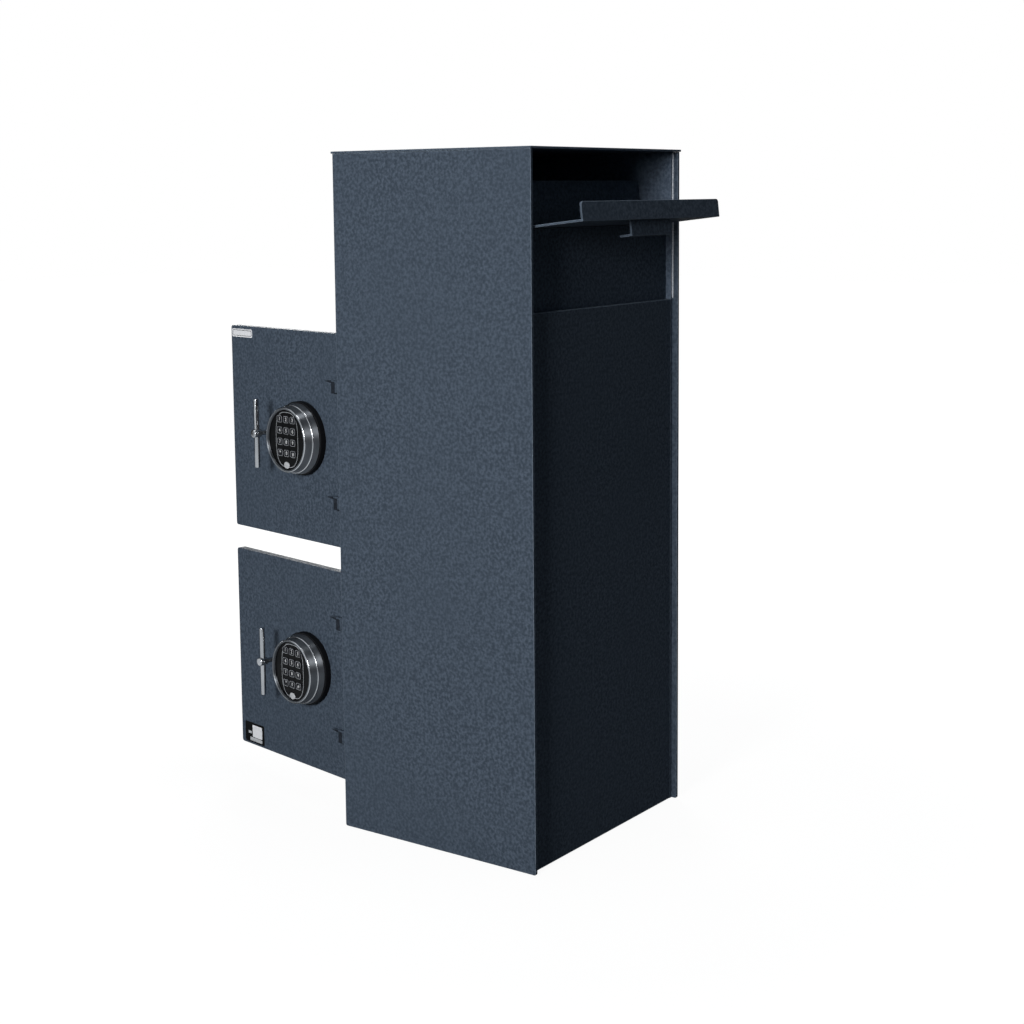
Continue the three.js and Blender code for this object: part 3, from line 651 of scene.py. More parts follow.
def weld_bead(length: float, radius: float, ripple_mm: float = 2.4) -> np.ndarray:
    """A weld bead along X: radius r (1 + 0.1 sin(2 pi x / p)), drawn in to a point at both ends.

    Args:
        length: Full length in millimetres.
        radius: Mean radius in millimetres.
        ripple_mm: Spacing p of the ripples.

    Returns:
        Rings by points by three, in metres.
    """
    points, rings_per_ripple, ripple = 12, 4, 0.1
    x = np.linspace(-length / 2, length / 2, int(length * rings_per_ripple / ripple_mm) + 2)
    close = np.sqrt(np.clip((length / 2 - np.abs(x)) / (2 * radius), 0, 1))
    r = radius * (1 + ripple * np.sin(2 * np.pi * x / ripple_mm)) * close
    angle = np.linspace(0, 2 * np.pi, points, endpoint=False)
    return np.stack([np.repeat(x[:, None], points, 1), r[:, None] * np.cos(angle),
                     r[:, None] * np.sin(angle)], -1) * MM


def soft_edges(node: str, body: str, look: Look, slot: str, radius: float = 0.6,
               edge: Look | None = None) -> bpy.types.Object:
    """Stands a copy of a CAD node with eased edges in its place.

    Args:
        node: The CAD node's name.
        body: The CAD body it rides on.
        look: Its finish.
        slot: Name of a material slot, passed on to settle.
        radius: Radius of the eased edges in millimetres.
        edge: Finish of the eased edges, a lighter coat that paints a highlight along them.

    Returns:
        The new piece.
    """
    flat_angle, eased_angle = 0.5, 40.0
    mesh = bpy.data.objects[node].data.copy()
    edit = bmesh.new()
    edit.from_mesh(mesh)
    bmesh.ops.remove_doubles(edit, verts=edit.verts, dist=CAD_MERGE)
    bmesh.ops.dissolve_limit(edit, angle_limit=math.radians(flat_angle), verts=edit.verts,
                             edges=edit.edges)
    edit.to_mesh(mesh)
    edit.free()
    piece = shown(mesh, f"{node}_eased", look, eased_angle)
    bevel = piece.modifiers.new("eased_edges", "BEVEL")
    bevel.width = radius * MM
    bevel.segments = 2
    bevel.limit_method = "ANGLE"
    bevel.angle_limit = math.radians(eased_angle)
    bevel.harden_normals = True
    # The bevel's faces take the lighter finish, a painted highlight along the edges.
    if edge:
        piece.data.materials.append(edge.value.material())
        bevel.material = 1
    return settle(piece, body, slot, node)


def settle(piece: bpy.types.Object, body: str, slot: str, *nodes: str) -> bpy.types.Object:
    """Lets a piece ride on a body and hides the CAD nodes it stands for.

    Args:
        piece: The new piece.
        body: The CAD body it rides on.
        slot: Name of a material slot; not used.
        *nodes: The CAD nodes that it replaces.

    Returns:
        The same piece.
    """
    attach(piece, body)
    if nodes:
        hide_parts(*nodes)
    LOG.info("piece %s rides on %s", piece.name, body)
    return piece


# Studio


@dataclass(frozen=True)
class Lamp:
    """A square area lamp that faces a target.

    Attributes:
        name: Its name.
        place: Its centre.
        target: The point that it faces.
        size: Length of its side.
        power: Its power in watts.
    """

    name: str
    place: Point
    target: Point
    size: float
    power: float

    def hang(self) -> None:
        """Makes the lamp."""
        data = bpy.data.lights.new(self.name, "AREA")
        data.size = self.size
        data.energy = self.power
        lamp = bpy.data.objects.new(self.name, data)
        lamp.location = self.place
        aim = Vector(self.target) - Vector(self.place)
        lamp.rotation_euler = aim.to_track_quat("-Z", "Y").to_euler()
        bpy.context.scene.collection.objects.link(lamp)


@dataclass(frozen=True)
class Card:
    """A card that only gloss can see, so that metal has something dark or bright to show.

    Attributes:
        name: The card's name.
        corners: Its corners in order.
        shade: How bright it looks, 1 for white.
        tint: Its faintly blue colour in linear light.
    """

    name: str
    corners: tuple[Point, ...]
    shade: float
    tint: tuple[float, float, float, float] = (0.92, 0.96, 1.0, 1.0)

    def hang(self) -> None:
        """Makes the card and hides it from everything but gloss."""
        mesh = bpy.data.meshes.new(self.name)
        mesh.from_pydata(self.corners, [], [tuple(range(len(self.corners)))])
        card = bpy.data.objects.new(self.name, mesh)
        bpy.context.scene.collection.objects.link(card)
        made = bpy.data.materials.new(f"{self.name}_flock")
        made.use_nodes = True
        tree = made.node_tree
        tree.nodes.clear()
        flock = add_node(tree, "ShaderNodeEmission", {
            "Color": self.tint, "Strength": self.shade})
        add_node(tree, "ShaderNodeOutputMaterial", {"Surface": flock.outputs["Emission"]})
        mesh.materials.append(made)
        card.visible_camera = False
        card.visible_diffuse = False
        card.visible_shadow = False
        card.visible_transmission = False


@dataclass
class Studio:
    """The camera, lamps, cards, floor and surroundings.

    Attributes:
        focal_pixels: Focal length in pixels of the photograph.
        axis_pixels: Where the camera's axis meets the picture.
        position: The camera's place.
        azimuth: Degrees from the front, round towards +X.
        pitch: Degrees that the camera looks down.
        roll: Degrees about its axis.
        sensor_mm: Width of the camera's sensor.
        view_depth: How far the camera sees.
        lamps: The area lamps.
        walls: Plan of the wall cards' corners.
        wall_shades: Name and brightness of the card that starts at each corner.
        wall_height: Height of the wall cards and of the ceiling card.
        ceiling_shade: Brightness of the ceiling card.
        split: Ends of the line that parts the two floor cards.
        floor_shades: Brightness of the far floor card and of the near one.
        floor_card_height: Height of the floor cards above the floor.
        floor_reach: Half the floor's side.
        paper: The floor's own colour, dark because its glow makes most of its white.
        glow_range: Distances from the safe between which the glow grows to full white.
        glow_near: The glow beside the safe.
        sky: Colour of the light from all round.
        sky_strength: Its strength.
    """

    focal_pixels: float = 1758.9
    axis_pixels: Pair = (490.4, 406.64)
    position: Point = (2.143, 1.5381, 0.9533)
    azimuth: float = 126.365
    pitch: float = 6.914
    roll: float = -0.589
    sensor_mm: float = 36.0
    view_depth: float = 60.0
    lamps: tuple[Lamp, ...] = (
        Lamp("key_lamp", (3.85, 0.5, 1.5), (0.15, -0.1, 0.6), 0.9, 114.0),
        Lamp("head_lamp", (0.0, 0.4, 4.2), (0.0, 0.0, 0.0), 1.2, 45.0),
        Lamp("fill_lamp", (-2.4, -2.2, 1.5), (0.0, -0.25, 0.6), 1.2, 40.0))
    walls: tuple[Pair, ...] = ((5.4, 0.0), (3.3, 3.6), (-7.1, 3.6), (-4.0, -3.8), (1.6, -3.2))
    wall_shades: tuple[tuple[str, float], ...] = (
        ("right", 0.08), ("back", 0.02), ("far", 0.35), ("front", 0.01), ("left", 1.0))
    wall_height: float = 5.0
    ceiling_shade: float = 0.06
    split: tuple[Pair, Pair] = ((0.25, 3.6), (0.25, -3.37))
    floor_shades: Pair = (0.1, 0.85)
    floor_card_height: float = 0.002
    floor_reach: float = 15.0
    paper: tuple[float, float, float, float] = (0.1, 0.1, 0.1, 1.0)
    glow_range: Pair = (0.6, 1.8)
    glow_near: float = 0.935
    sky: tuple[float, float, float, float] = (0.7, 0.85, 1.0, 1.0)
    sky_strength: float = 0.09

    def build(self) -> None:
        """Makes everything that isn't the safe."""
        bpy.context.scene.view_settings.view_transform = "Standard"
        self.camera()
        for lamp in self.lamps:
            lamp.hang()
        self.cards()
        self.floor()
        self.surroundings()

    def camera(self) -> None:
        """Places the camera from its angles, its shift from where the axis meets the picture."""
        turn, tilt, lean = (math.radians(v) for v in (self.azimuth, self.pitch, self.roll))
        back = Vector((math.sin(turn) * math.cos(tilt), -math.cos(turn) * math.cos(tilt),
                       math.sin(tilt)))
        right = Vector((0, 0, 1)).cross(back).normalized()
        up = back.cross(right)
        leaned = math.cos(lean) * right + math.sin(lean) * up
        raised = -math.sin(lean) * right + math.cos(lean) * up
        data = bpy.data.cameras.new("camera")
        data.sensor_width = self.sensor_mm
        data.lens = self.focal_pixels / IMAGE_PIXELS * self.sensor_mm
        data.shift_x = 0.5 - self.axis_pixels[0] / IMAGE_PIXELS
        data.shift_y = self.axis_pixels[1] / IMAGE_PIXELS - 0.5
        data.clip_end = self.view_depth
        camera = bpy.data.objects.new("camera", data)
        camera.matrix_world = Matrix.Translation(self.position) @ Matrix(
            (leaned, raised, back)).transposed().to_4x4()
        bpy.context.scene.collection.objects.link(camera)
        bpy.context.scene.camera = camera

    def cards(self) -> None:
        """Hangs the cards on the walls, then the ceiling's and the floor's two."""
        high = self.wall_height
        for index, (word, shade) in enumerate(self.wall_shades):
            foot, end = self.walls[index], self.walls[(index + 1) % len(self.walls)]
            Card(f"{word}_card", ((*foot, 0.0), (*end, 0.0), (*end, high), (*foot, high)),
                 shade).hang()
        near_end, far_end = self.split
        far_plan = (*self.walls[2:4], far_end, near_end)
        near_plan = (near_end, far_end, self.walls[4], *self.walls[:2])
        far_shade, near_shade = self.floor_shades
        low = self.floor_card_height
        for word, plan, height, shade in (("ceiling", self.walls, high, self.ceiling_shade),
                                          ("floor_far", far_plan, low, far_shade),
                                          ("floor_near", near_plan, low, near_shade)):
            Card(f"{word}_card", tuple((x, y, height) for x, y in plan), shade).hang()

    def floor(self) -> None:
        """Lays a pale floor that shows white to the camera and keeps the safe's shadow.

        Its own glow grows from the safe outwards, so that the floor ends in the white around it.
        """
        reach = self.floor_reach
        mesh = bpy.data.meshes.new("floor")
        mesh.from_pydata([(-reach, -reach, 0), (reach, -reach, 0), (reach, reach, 0),
                          (-reach, reach, 0)], [], [(0, 1, 2, 3)])
        floor = bpy.data.objects.new("floor", mesh)
        bpy.context.scene.collection.objects.link(floor)
        made = bpy.data.materials.new("studio_paper_white")
        made.use_nodes = True
        tree = made.node_tree
        tree.nodes.clear()
        path = add_node(tree, "ShaderNodeLightPath")
        seen = add_node(tree, "ShaderNodeMath", {
            0: path.outputs["Is Camera Ray"], 1: path.outputs["Is Glossy Ray"]},
            operation="MAXIMUM")
        paper = add_node(tree, "ShaderNodeBsdfDiffuse", {"Color": self.paper})
        away = add_node(tree, "ShaderNodeVectorMath", {
            0: add_node(tree, "ShaderNodeTexCoord").outputs["Object"]}, operation="LENGTH")
        strength = add_node(tree, "ShaderNodeMapRange", {
            "Value": away.outputs["Value"], "From Min": self.glow_range[0],
            "From Max": self.glow_range[1], "To Min": self.glow_near, "To Max": 1.0})
        glow = add_node(tree, "ShaderNodeEmission", {
            "Color": FULL_WHITE, "Strength": strength.outputs["Result"]})
        both = add_node(tree, "ShaderNodeAddShader", {
            0: paper.outputs["BSDF"], 1: glow.outputs["Emission"]})
        mixed = add_node(tree, "ShaderNodeMixShader", {
            0: seen.outputs["Value"], 1: paper.outputs["BSDF"], 2: both.outputs["Shader"]})
        add_node(tree, "ShaderNodeOutputMaterial", {"Surface": mixed.outputs["Shader"]})
        mesh.materials.append(made)

    def surroundings(self) -> None:
        """Gives a white background and a dim bluish light from all round."""
        world = bpy.data.worlds.new("studio")
        bpy.context.scene.world = world
        world.use_nodes = True
        tree = world.node_tree
        tree.nodes.clear()
        path = add_node(tree, "ShaderNodeLightPath")
        mirror = add_node(tree, "ShaderNodeMath", {
            0: path.outputs["Is Glossy Ray"], 1: path.outputs["Is Transmission Ray"]},
            operation="MAXIMUM")
        seen = add_node(tree, "ShaderNodeMath", {
            0: path.outputs["Is Camera Ray"], 1: mirror.outputs["Value"]}, operation="MAXIMUM")
        dim = add_node(tree, "ShaderNodeBackground", {
            "Color": self.sky, "Strength": self.sky_strength})
        white = add_node(tree, "ShaderNodeBackground", {"Color": FULL_WHITE, "Strength": 1.0})
        mixed = add_node(tree, "ShaderNodeMixShader", {
            0: seen.outputs["Value"], 1: dim.outputs["Background"], 2: white.outputs["Background"]})
        add_node(tree, "ShaderNodeOutputWorld", {"Surface": mixed.outputs["Shader"]})


# The safe


@dataclass
class Case:
    """The welded body: skins, walls, plates, hinge pins and the drawer's rod.

    Attributes:
        shell: The CAD nodes of the outer plates.
        walls: Those of the inner side walls.
        inner: Those of the plates inside and behind.
        pins: Those of the hinge pins and the drawer's rod.
        shell_edge: Radius of the outer plates' eased edges in millimetres.
        armour_edge: That of the thick plate on the rear.
        inner_edge: That of the inner plates.
        pin_edge: That of the pins and the rod.
        seam_at: Distance of the pale bead from the middle along X, and its Y.
        seam_ends: Heights between which it shows, above the thick plate.
        seam_radius: Its radius.
        seam_ripple: Spacing of its ripples.
    """

    shell: tuple[str, ...] = ("side_panel_right", "side_panel_left", "top_plate", "front_frame")
    walls: tuple[str, ...] = ("inner_wall_right", "inner_wall_left")
    inner: tuple[str, ...] = ("bottom_plate", "divider_shelf", "rear_wall", "anti_fishing_plate")
    pins: tuple[str, ...] = ("drawer_pivot_rod", "lower_door_pin_bottom", "lower_door_pin_top",
                             "upper_door_pin_bottom", "upper_door_pin_top")
    shell_edge: float = 0.7
    armour_edge: float = 1.5
    inner_edge: float = 0.6
    pin_edge: float = 0.5
    seam_at: Pair = (191.6, 167.8)
    seam_ends: Pair = (791.0, 1012.0)
    seam_radius: float = 1.5
    seam_ripple: float = 4.0

    def build(self) -> None:
        """Dresses every fixed piece."""
        coat, thin = "powder_coat", "inner_powder_coat"
        for nodes, look, slot, radius, edge in (
                (self.shell, Look.SHELL, coat, self.shell_edge, Look.EDGE_HIGHLIGHT),
                (("rear_armour_plate",), Look.SHELL, coat, self.armour_edge, Look.EDGE_HIGHLIGHT),
                # The inner side walls take the lighter coat, painted light in the deposit opening.
                (self.walls, Look.LIT_WALLS, thin, self.inner_edge, Look.EDGE_HIGHLIGHT),
                (self.inner, Look.INNER, thin, self.inner_edge, Look.EDGE_HIGHLIGHT),
                (self.pins, Look.STEEL, "bare_steel", self.pin_edge, None)):
            for node in nodes:
                soft_edges(node, "safe_body", look, slot, radius, edge)
        self.seams()

    def seams(self) -> None:
        """Near-white beads run down the joints of the skins with the inner walls, above the thick
        plate: a painted highlight for the bright line along these joints.
        """
        low, high = self.seam_ends
        bead = weld_bead(high - low, self.seam_radius, self.seam_ripple)
        upright = np.array([[0, 0, 1, 0], [0, 1, 0, 0], [-1, 0, 0, 0], [0, 0, 0, 1]], float)
        for word, side in (("right", 1), ("left", -1)):
            at = shifted(side * self.seam_at[0], self.seam_at[1], (low + high) / 2) @ upright
            settle(closed_piece(f"seam_{word}", bead, at, Look.SEAM_HIGHLIGHT), "safe_body",
                   "powder_coat")


@dataclass
class Drawer:
    """The tilting deposit drawer: a folded tray and its finger pull.

    Attributes:
        nodes: Its CAD nodes.
        edge: Radius of their eased edges in millimetres.
    """

    nodes: tuple[str, ...] = ("drawer_tray", "drawer_finger_pull")
    edge: float = 0.6

    def build(self) -> None:
        """Dresses the tray and the pull."""
        for node in self.nodes:
            soft_edges(node, "deposit_drawer", Look.SHELL, "powder_coat", self.edge, Look.EDGE_HIGHLIGHT)


@dataclass
class Keypad:
    """A round electronic keypad: black flange, turned housing and a face with twelve keys.

    Lengths are in millimetres, heights from the door's outer face.

    Attributes:
        door: The door's name.
        place: Matrix of the keypad's centre on the door's face, x right, y up, z out.
        base_radius: Radius of the flange.
        base_height: Height of the flange.
        base_edge: Radius of its rounded edge.
        drum_radius: Radius of the housing's foot.
        drum_edge: Bevel of the foot.
        step_radius: Radius of the housing at its step.
        step_height: Height of the step.
        step_width: How far the housing steps in.
        step_edge: Bevel inside the step.
        ring_radius: Radius of the housing's top.
        ring_top: Its height.
        shoulder: Radius of the housing's two rounded shoulders.
        shoulder_steps: Points round a shoulder.
        polish: Outer and inner radius of the polished band on a shoulder.
        polish_turn: Angles between which the band runs, in degrees.
        rim_width: Width of the rim round the face.
        rim_depth: How far the face is sunk.
        rim_edge: Radius of the rim's inner edge.
        face_thickness: Thickness of the face plate.
        face_edge: Radius of its eased edge.
        gap: Play between two pieces.
        border_outer: Half sizes of the silver line's outside.
        border_inner: Half sizes of its inside.
        border_power: Power of the superellipse that it follows.
        print_height: Lowest and highest point of the print on the face.
        badge_half: Half sizes of the badge.
        badge_at: Its centre.
        badge_rings: Share of its outline and height of each ring.
        badge_top: Height of its middle.
        key_size: Width, height, corner radius and thickness of a key.
        pitch: Distance between the keys' centres, across and up.
        key_raise: How far the key field stands above the middle.
        key_foot: Height of the keys' feet above the face plate's underside.
        key_edge: Radius of a key's rounded rim.
        key_dish: Depth of the dish in its top.
        dish_shares: Shares of the top's outline at which the dish has its rings.
        outline: Insets of its outline's outside and inside.
        outline_rise: How far the outline stands proud.
        sign_size: Height of the lettering.
        sign_depth: Half its thickness.
        sign_bold: How far its strokes are widened.
        sign_sink: How far it is set into the key.
        sign_sharp: Edges of a sign steeper than this many degrees stay sharp.
        signs: Name and sign of each key, along the rows from the top.
        rows: Rows of keys.
        columns: Keys in a row.
        drum_steps: Points round the housing.
        drum_sharp: Its edges steeper than this many degrees stay sharp.
    """

    door: str
    place: np.ndarray
    base_radius: float = 58.0
    base_height: float = 10.5
    base_edge: float = 1.6
    drum_radius: float = 55.8
    drum_edge: float = 0.4
    step_radius: float = 54.2
    step_height: float = 22.5
    step_width: float = 2.0
    step_edge: float = 0.2
    ring_radius: float = 51.0
    ring_top: float = 35.5
    shoulder: float = 1.6
    shoulder_steps: int = 9
    polish: Pair = (1.64, 1.3)
    polish_turn: Pair = (8, 82)
    rim_width: float = 3.6
    rim_depth: float = 5.5
    rim_edge: float = 0.5
    face_thickness: float = 1.6
    face_edge: float = 0.25
    gap: float = 0.3
    border_outer: Pair = (28.6, 43.2)
    border_inner: Pair = (27.9, 42.5)
    border_power: float = 3
    print_height: Pair = (0.02, 0.1)
    badge_half: Pair = (7.4, 5.2)
    badge_at: Pair = (-1.5, -40.2)
    badge_rings: tuple[Pair, ...] = ((0, 0), (0.97, 0), (1, 0.3), (0.94, 0.6))
    badge_top: float = 0.75
    key_size: tuple[float, float, float, float] = (14.0, 11.5, 3.4, 2.2)
    pitch: Pair = (16.6, 17.6)
    key_raise: float = 5.2
    key_foot: float = 1.0
    key_edge: float = 0.7
    key_dish: float = 0.25
    dish_shares: tuple[float, ...] = (0.75, 0.5, 0.25, 0)
    outline: Pair = (0.65, 1.1)
    outline_rise: float = 0.03
    sign_size: float = 7.6
    sign_depth: float = 0.08
    sign_bold: float = 0.12
    sign_sink: float = 0.2
    sign_sharp: float = 30.0
    signs: tuple[tuple[str, str], ...] = (
        ("1", "1"), ("2", "2"), ("3", "3"), ("4", "4"), ("5", "5"), ("6", "6"), ("7", "7"),
        ("8", "8"), ("9", "9"), ("star", "*"), ("0", "0"), ("hash", "#"))
    rows: int = 4
    columns: int = 3
    drum_steps: int = 128
    drum_sharp: float = 25.0

    def build(self) -> None:
        """Makes the keypad's pieces."""
        body = f"{self.door}_door"
        settle(closed_piece(f"{self.door}_keypad_flange", revolved(self.flange()), self.place,
                            Look.BASE), body, "black_plastic", f"{self.door}_keypad_base")
        settle(closed_piece(f"{self.door}_keypad_housing",
                            revolved(self.housing(), self.drum_steps), self.place, Look.DRUM,
                            self.drum_sharp), body, "chrome_plate", f"{self.door}_keypad_ring")
        for word, radius, height in (("front", self.ring_radius, self.ring_top),
                                     ("step", self.step_radius, self.step_height)):
            self.polished(word, (radius - self.shoulder, height - self.shoulder))
        soft_edges(f"{self.door}_keypad_face", body, Look.FACE, "black_plastic", self.face_edge)
        self.border()
        self.badge()
        for index, (label, sign) in enumerate(self.signs):
            self.key(index, label, sign)

    def flange(self) -> list[Pair]:
        """Gives the base flange's profile, radius and height of each point."""
        corner = (self.base_radius - self.base_edge, self.base_height - self.base_edge)
        return [(0, self.gap), (self.base_radius, self.gap),
                *arc(corner, self.base_edge, 0, 90), (0, self.base_height)]

    def housing(self) -> list[Pair]:
        """Gives the turned housing's profile: cone, step, cone, shoulder, rim and floor.

        Returns:
            Radius and height of each point.
        """
        low, top, step = self.base_height + self.gap, self.ring_top, self.step_height
        ledge, rim = self.step_radius - self.step_width, self.ring_radius - self.rim_width
        drum, round_off, lip = self.drum_radius, self.shoulder, self.rim_edge
        return [
            (0, low), (drum - self.drum_edge, low), (drum, low + self.drum_edge),
            *arc((self.step_radius - round_off, step - round_off), round_off, 0, 90,
                 self.shoulder_steps),
            (ledge + self.step_edge, step), (ledge, step + self.step_edge),
            *arc((self.ring_radius - round_off, top - round_off), round_off, 0, 90,
                 self.shoulder_steps),
            (rim + lip, top), *arc((rim + lip, top - lip), lip, 90, 180, 5),
            (rim, top - self.rim_depth), (0, top - self.rim_depth)]

    def polished(self, word: str, centre: Pair) -> None:
        """Lays the polished band on a shoulder.

        Args:
            word: The shoulder's name.
            centre: Radius and height of the middle of its round.
        """
        start, end = self.polish_turn
        outer, inner = self.polish
        bead = [*arc(centre, outer, start, end, self.shoulder_steps),
                *arc(centre, inner, end, start, self.shoulder_steps)]
        settle(closed_piece(f"{self.door}_keypad_{word}_edge",
                            revolved([*bead, bead[0]], self.drum_steps), self.place, Look.HUB,
                            self.drum_sharp), f"{self.door}_door", "chrome_plate")

    def face_top(self) -> float:
        """Gives the height of the face plate's top."""
        return self.ring_top - self.rim_depth + self.gap + self.face_thickness

    def border(self) -> None:
        """A silver line round the key field, shaped as a superellipse |x/a|^3 + |y/b|^3 = 1."""
        angle = np.linspace(0, 2 * np.pi, 96, endpoint=False)
        wave = np.stack([np.cos(angle), np.sin(angle)], -1)
        unit = np.sign(wave) * np.abs(wave) ** (2 / self.border_power)
        low, high = (self.face_top() + height for height in self.print_height)
        band = frame_bead(unit * self.border_outer, unit * self.border_inner, low, high)
        settle(closed_piece(f"{self.door}_keypad_border", band, self.place, Look.SILVER),
               f"{self.door}_door", "chrome_plate")

    def badge(self) -> None:
        """A blank oval badge under the keys: x = a cos t, y = b sin t, its top slightly domed."""
        angle = np.linspace(0, 2 * np.pi, 48, endpoint=False)
        oval = np.stack([self.badge_half[0] * np.cos(angle),
                         self.badge_half[1] * np.sin(angle)], -1)
        low = self.face_top() + self.print_height[0]
        disc = stacked([(oval * share, low + rise)
                        for share, rise in (*self.badge_rings, (0, self.badge_top))])
        settle(closed_piece(f"{self.door}_keypad_badge", disc,
                            self.place @ shifted(*self.badge_at, 0), Look.BADGE),
               f"{self.door}_door", "chrome_plate")

    def key(self, index: int, label: str, sign: str) -> None:
        """One dished key cap with its outline and its sign.

        The rim is a quarter round of the key's edge radius, and the dish sinks as 1 - s^2.

        Args:
            index: The key's number, from the top left along the rows.
            label: Its name.
            sign: The sign printed on it.
        """
        width, height, corner, thick = self.key_size
        row, column = divmod(index, self.columns)
        across = (column - (self.columns - 1) / 2) * self.pitch[0]
        up = self.key_raise + ((self.rows - 1) / 2 - row) * self.pitch[1]
        low = self.ring_top - self.rim_depth + self.gap + self.key_foot
        middle = self.place @ shifted(across, up, low)
        turn = np.radians(np.linspace(0, 90, 5))
        inset = self.key_edge * (1 - np.cos(turn))
        rise = thick - self.key_edge + self.key_edge * np.sin(turn)
        rings = [(rounded_ring(width, height, corner), 0.0)]
        rings += [(rounded_ring(width - 2 * i, height - 2 * i, corner - i), float(z))
                  for i, z in zip(inset, rise)]
        flat = rounded_ring(width - 2 * self.key_edge, height - 2 * self.key_edge,
                            corner - self.key_edge)
        rings += [(flat * share, thick - self.key_dish * (1 - share ** 2))
                  for share in self.dish_shares]
        body = f"{self.door}_key_{label}"
        settle(closed_piece(f"{self.door}_cap_{label}", stacked([(flat * 0, 0.0), *rings]),
                            middle, Look.KEYS), body, "key_plastic", body)
        outer, inner = (rounded_ring(width - 2 * i, height - 2 * i, corner - i)
                        for i in self.outline)
        edge = frame_bead(outer, inner, thick - self.key_dish, thick + self.outline_rise)
        settle(closed_piece(f"{self.door}_cap_line_{label}", edge, middle, Look.SILVER), body,
               "key_plastic")
        self.sign(sign, f"{self.door}_cap_sign_{label}",
                  middle @ shifted(0, 0, thick - self.sign_sink), body)

    def sign(self, sign: str, name: str, place: np.ndarray, body: str) -> None:
        """One printed sign, made a mesh before it is put on its key.

        Args:
            sign: The sign.
            name: The piece's name.
            place: Matrix of its place.
            body: The key's body.
        """
        curve = bpy.data.curves.new(name, "FONT")
        curve.body = sign
        curve.size = self.sign_size * MM
        curve.align_x = "CENTER"
        curve.align_y = "CENTER"
        curve.extrude = self.sign_depth * MM
        curve.offset = self.sign_bold * MM
        lettering = bpy.data.objects.new(name, curve)
        bpy.context.scene.collection.objects.link(lettering)
        bpy.context.view_layer.update()
        mesh = bpy.data.meshes.new_from_object(lettering)
        bpy.data.objects.remove(lettering)
        mesh.transform(Matrix(place.tolist()))
        settle(shown(mesh, name, Look.WHITE, self.sign_sharp), body, "key_plastic")


@dataclass
class Handle:
    """A T-handle: chromed cross bar in a hub on a thin shaft, its cam plate inside the door.

    Lengths are in millimetres, heights from the door's outer face.

    Attributes:
        door: The door's name.
        place: Matrix of the spindle's axis on the door's face, x right, y up, z out.
        standoff: Height of the cross bar's axis.
        bar_radius: Radius of the cross bar.
        bar_length: Its length.
        bar_edge: Radius of its rounded ends.
        spindle_radius: Radius of the spindle through the door.
        spindle_top: Its height.
        collar: Radius, foot, top and rounding of the collar round it.
        shaft_radius: Radius of the shaft.
        shaft_foot: Height of its foot.
        shaft_sink: How far it reaches into the hub.
        hub: Radius, back and front of the hub.
        hub_edges: Rounding of the hub's back and front.
        door_thickness: Thickness of the door.
        gap: Play between the cam plate and the door.
        cam: Radius, thickness and bevel of the cam plate.
        cam_pin: Radius of its pin, depths of the pin's root and end in it, and the end's bevel.
        cam_offset: The pin's distance from the axis, across and up.
    """

    door: str
    place: np.ndarray
    standoff: float = 40.4
    bar_radius: float = 4.2
    bar_length: float = 109.0
    bar_edge: float = 0.8
    spindle_radius: float = 6.5
    spindle_top: float = 3.2
    collar: tuple[float, float, float, float] = (9.0, 0.3, 3.3, 1.0)
    shaft_radius: float = 4.0
    shaft_foot: float = 3.0
    shaft_sink: float = 1.0
    hub: Point = (6.7, 34.0, 48.0)
    hub_edges: Pair = (0.8, 1.4)
    door_thickness: float = 12.7
    gap: float = 0.3
    cam: Point = (16.5, 4.6, 0.5)
    cam_pin: tuple[float, float, float, float] = (3.0, 2.0, 11.2, 0.4)
    cam_offset: float = 8.0

    def build(self) -> None:
        """Makes the handle's pieces."""
        self.bar()
        inner = -self.door_thickness - self.gap
        radius, foot, top, rounding = self.collar
        self.turned("spindle", [(0, inner), (self.spindle_radius, inner),
                                (self.spindle_radius, self.spindle_top), (0, self.spindle_top)],
                    Look.OXIDE, "bare_steel")
        self.turned("collar", [(0, foot), (radius, foot),
                               *arc((radius - rounding, top - rounding), rounding, 0, 90, 5),
                               (0, top)], Look.OXIDE, "bare_steel")
        thick, back, front = self.hub
        end = back + self.shaft_sink
        self.turned("shaft", [(0, self.shaft_foot), (self.shaft_radius, self.shaft_foot),
                              (self.shaft_radius, end), (0, end)], Look.HUB, "chrome_plate")
        low, high = self.hub_edges
        self.turned("hub", [(0, back), *arc((thick - low, back + low), low, -90, 0, 5),
                            *arc((thick - high, front - high), high, 0, 90, 7), (0, front)],
                    Look.HUB, "chrome_plate")
        radius, thick, edge = self.cam
        self.turned("cam", [(0, inner), (radius - edge, inner), (radius, inner - edge),
                            (radius, inner - thick + edge), (radius - edge, inner - thick),
                            (0, inner - thick)], Look.OXIDE, "bare_steel")
        radius, root, end, edge = self.cam_pin
        pin = revolved([(0, inner - root), (radius, inner - root), (radius, inner - end + edge),
                        (radius - edge, inner - end), (0, inner - end)], 32)
        settle(closed_piece(f"{self.door}_handle_cam_pin", pin,
                            self.place @ shifted(self.cam_offset, self.cam_offset, 0), Look.OXIDE),
               f"{self.door}_handle", "bare_steel")

    def bar(self) -> None:
        """The cross bar, a turned rod with rounded ends."""
        half, radius, edge = self.bar_length / 2, self.bar_radius, self.bar_edge
        profile = [(0, -half), *arc((radius - edge, -half + edge), edge, -90, 0, 5),
                   *arc((radius - edge, half - edge), edge, 0, 90, 5), (0, half)]
        upright = np.array([[1, 0, 0, 0], [0, 0, 1, 0], [0, -1, 0, 0], [0, 0, 0, 1]], float)
        rod = closed_piece(f"{self.door}_handle_bar", revolved(profile, 48),
                           self.place @ shifted(0, 0, self.standoff) @ upright, Look.BAR)
        settle(rod, f"{self.door}_handle", "chrome_plate", f"{self.door}_handle")

    def turned(self, word: str, profile: list[Pair], look: Look, slot: str) -> None:
        """One turned piece of the handle about the spindle's axis."""
        settle(closed_piece(f"{self.door}_handle_{word}", revolved(profile, 64), self.place, look),
               f"{self.door}_handle", slot)


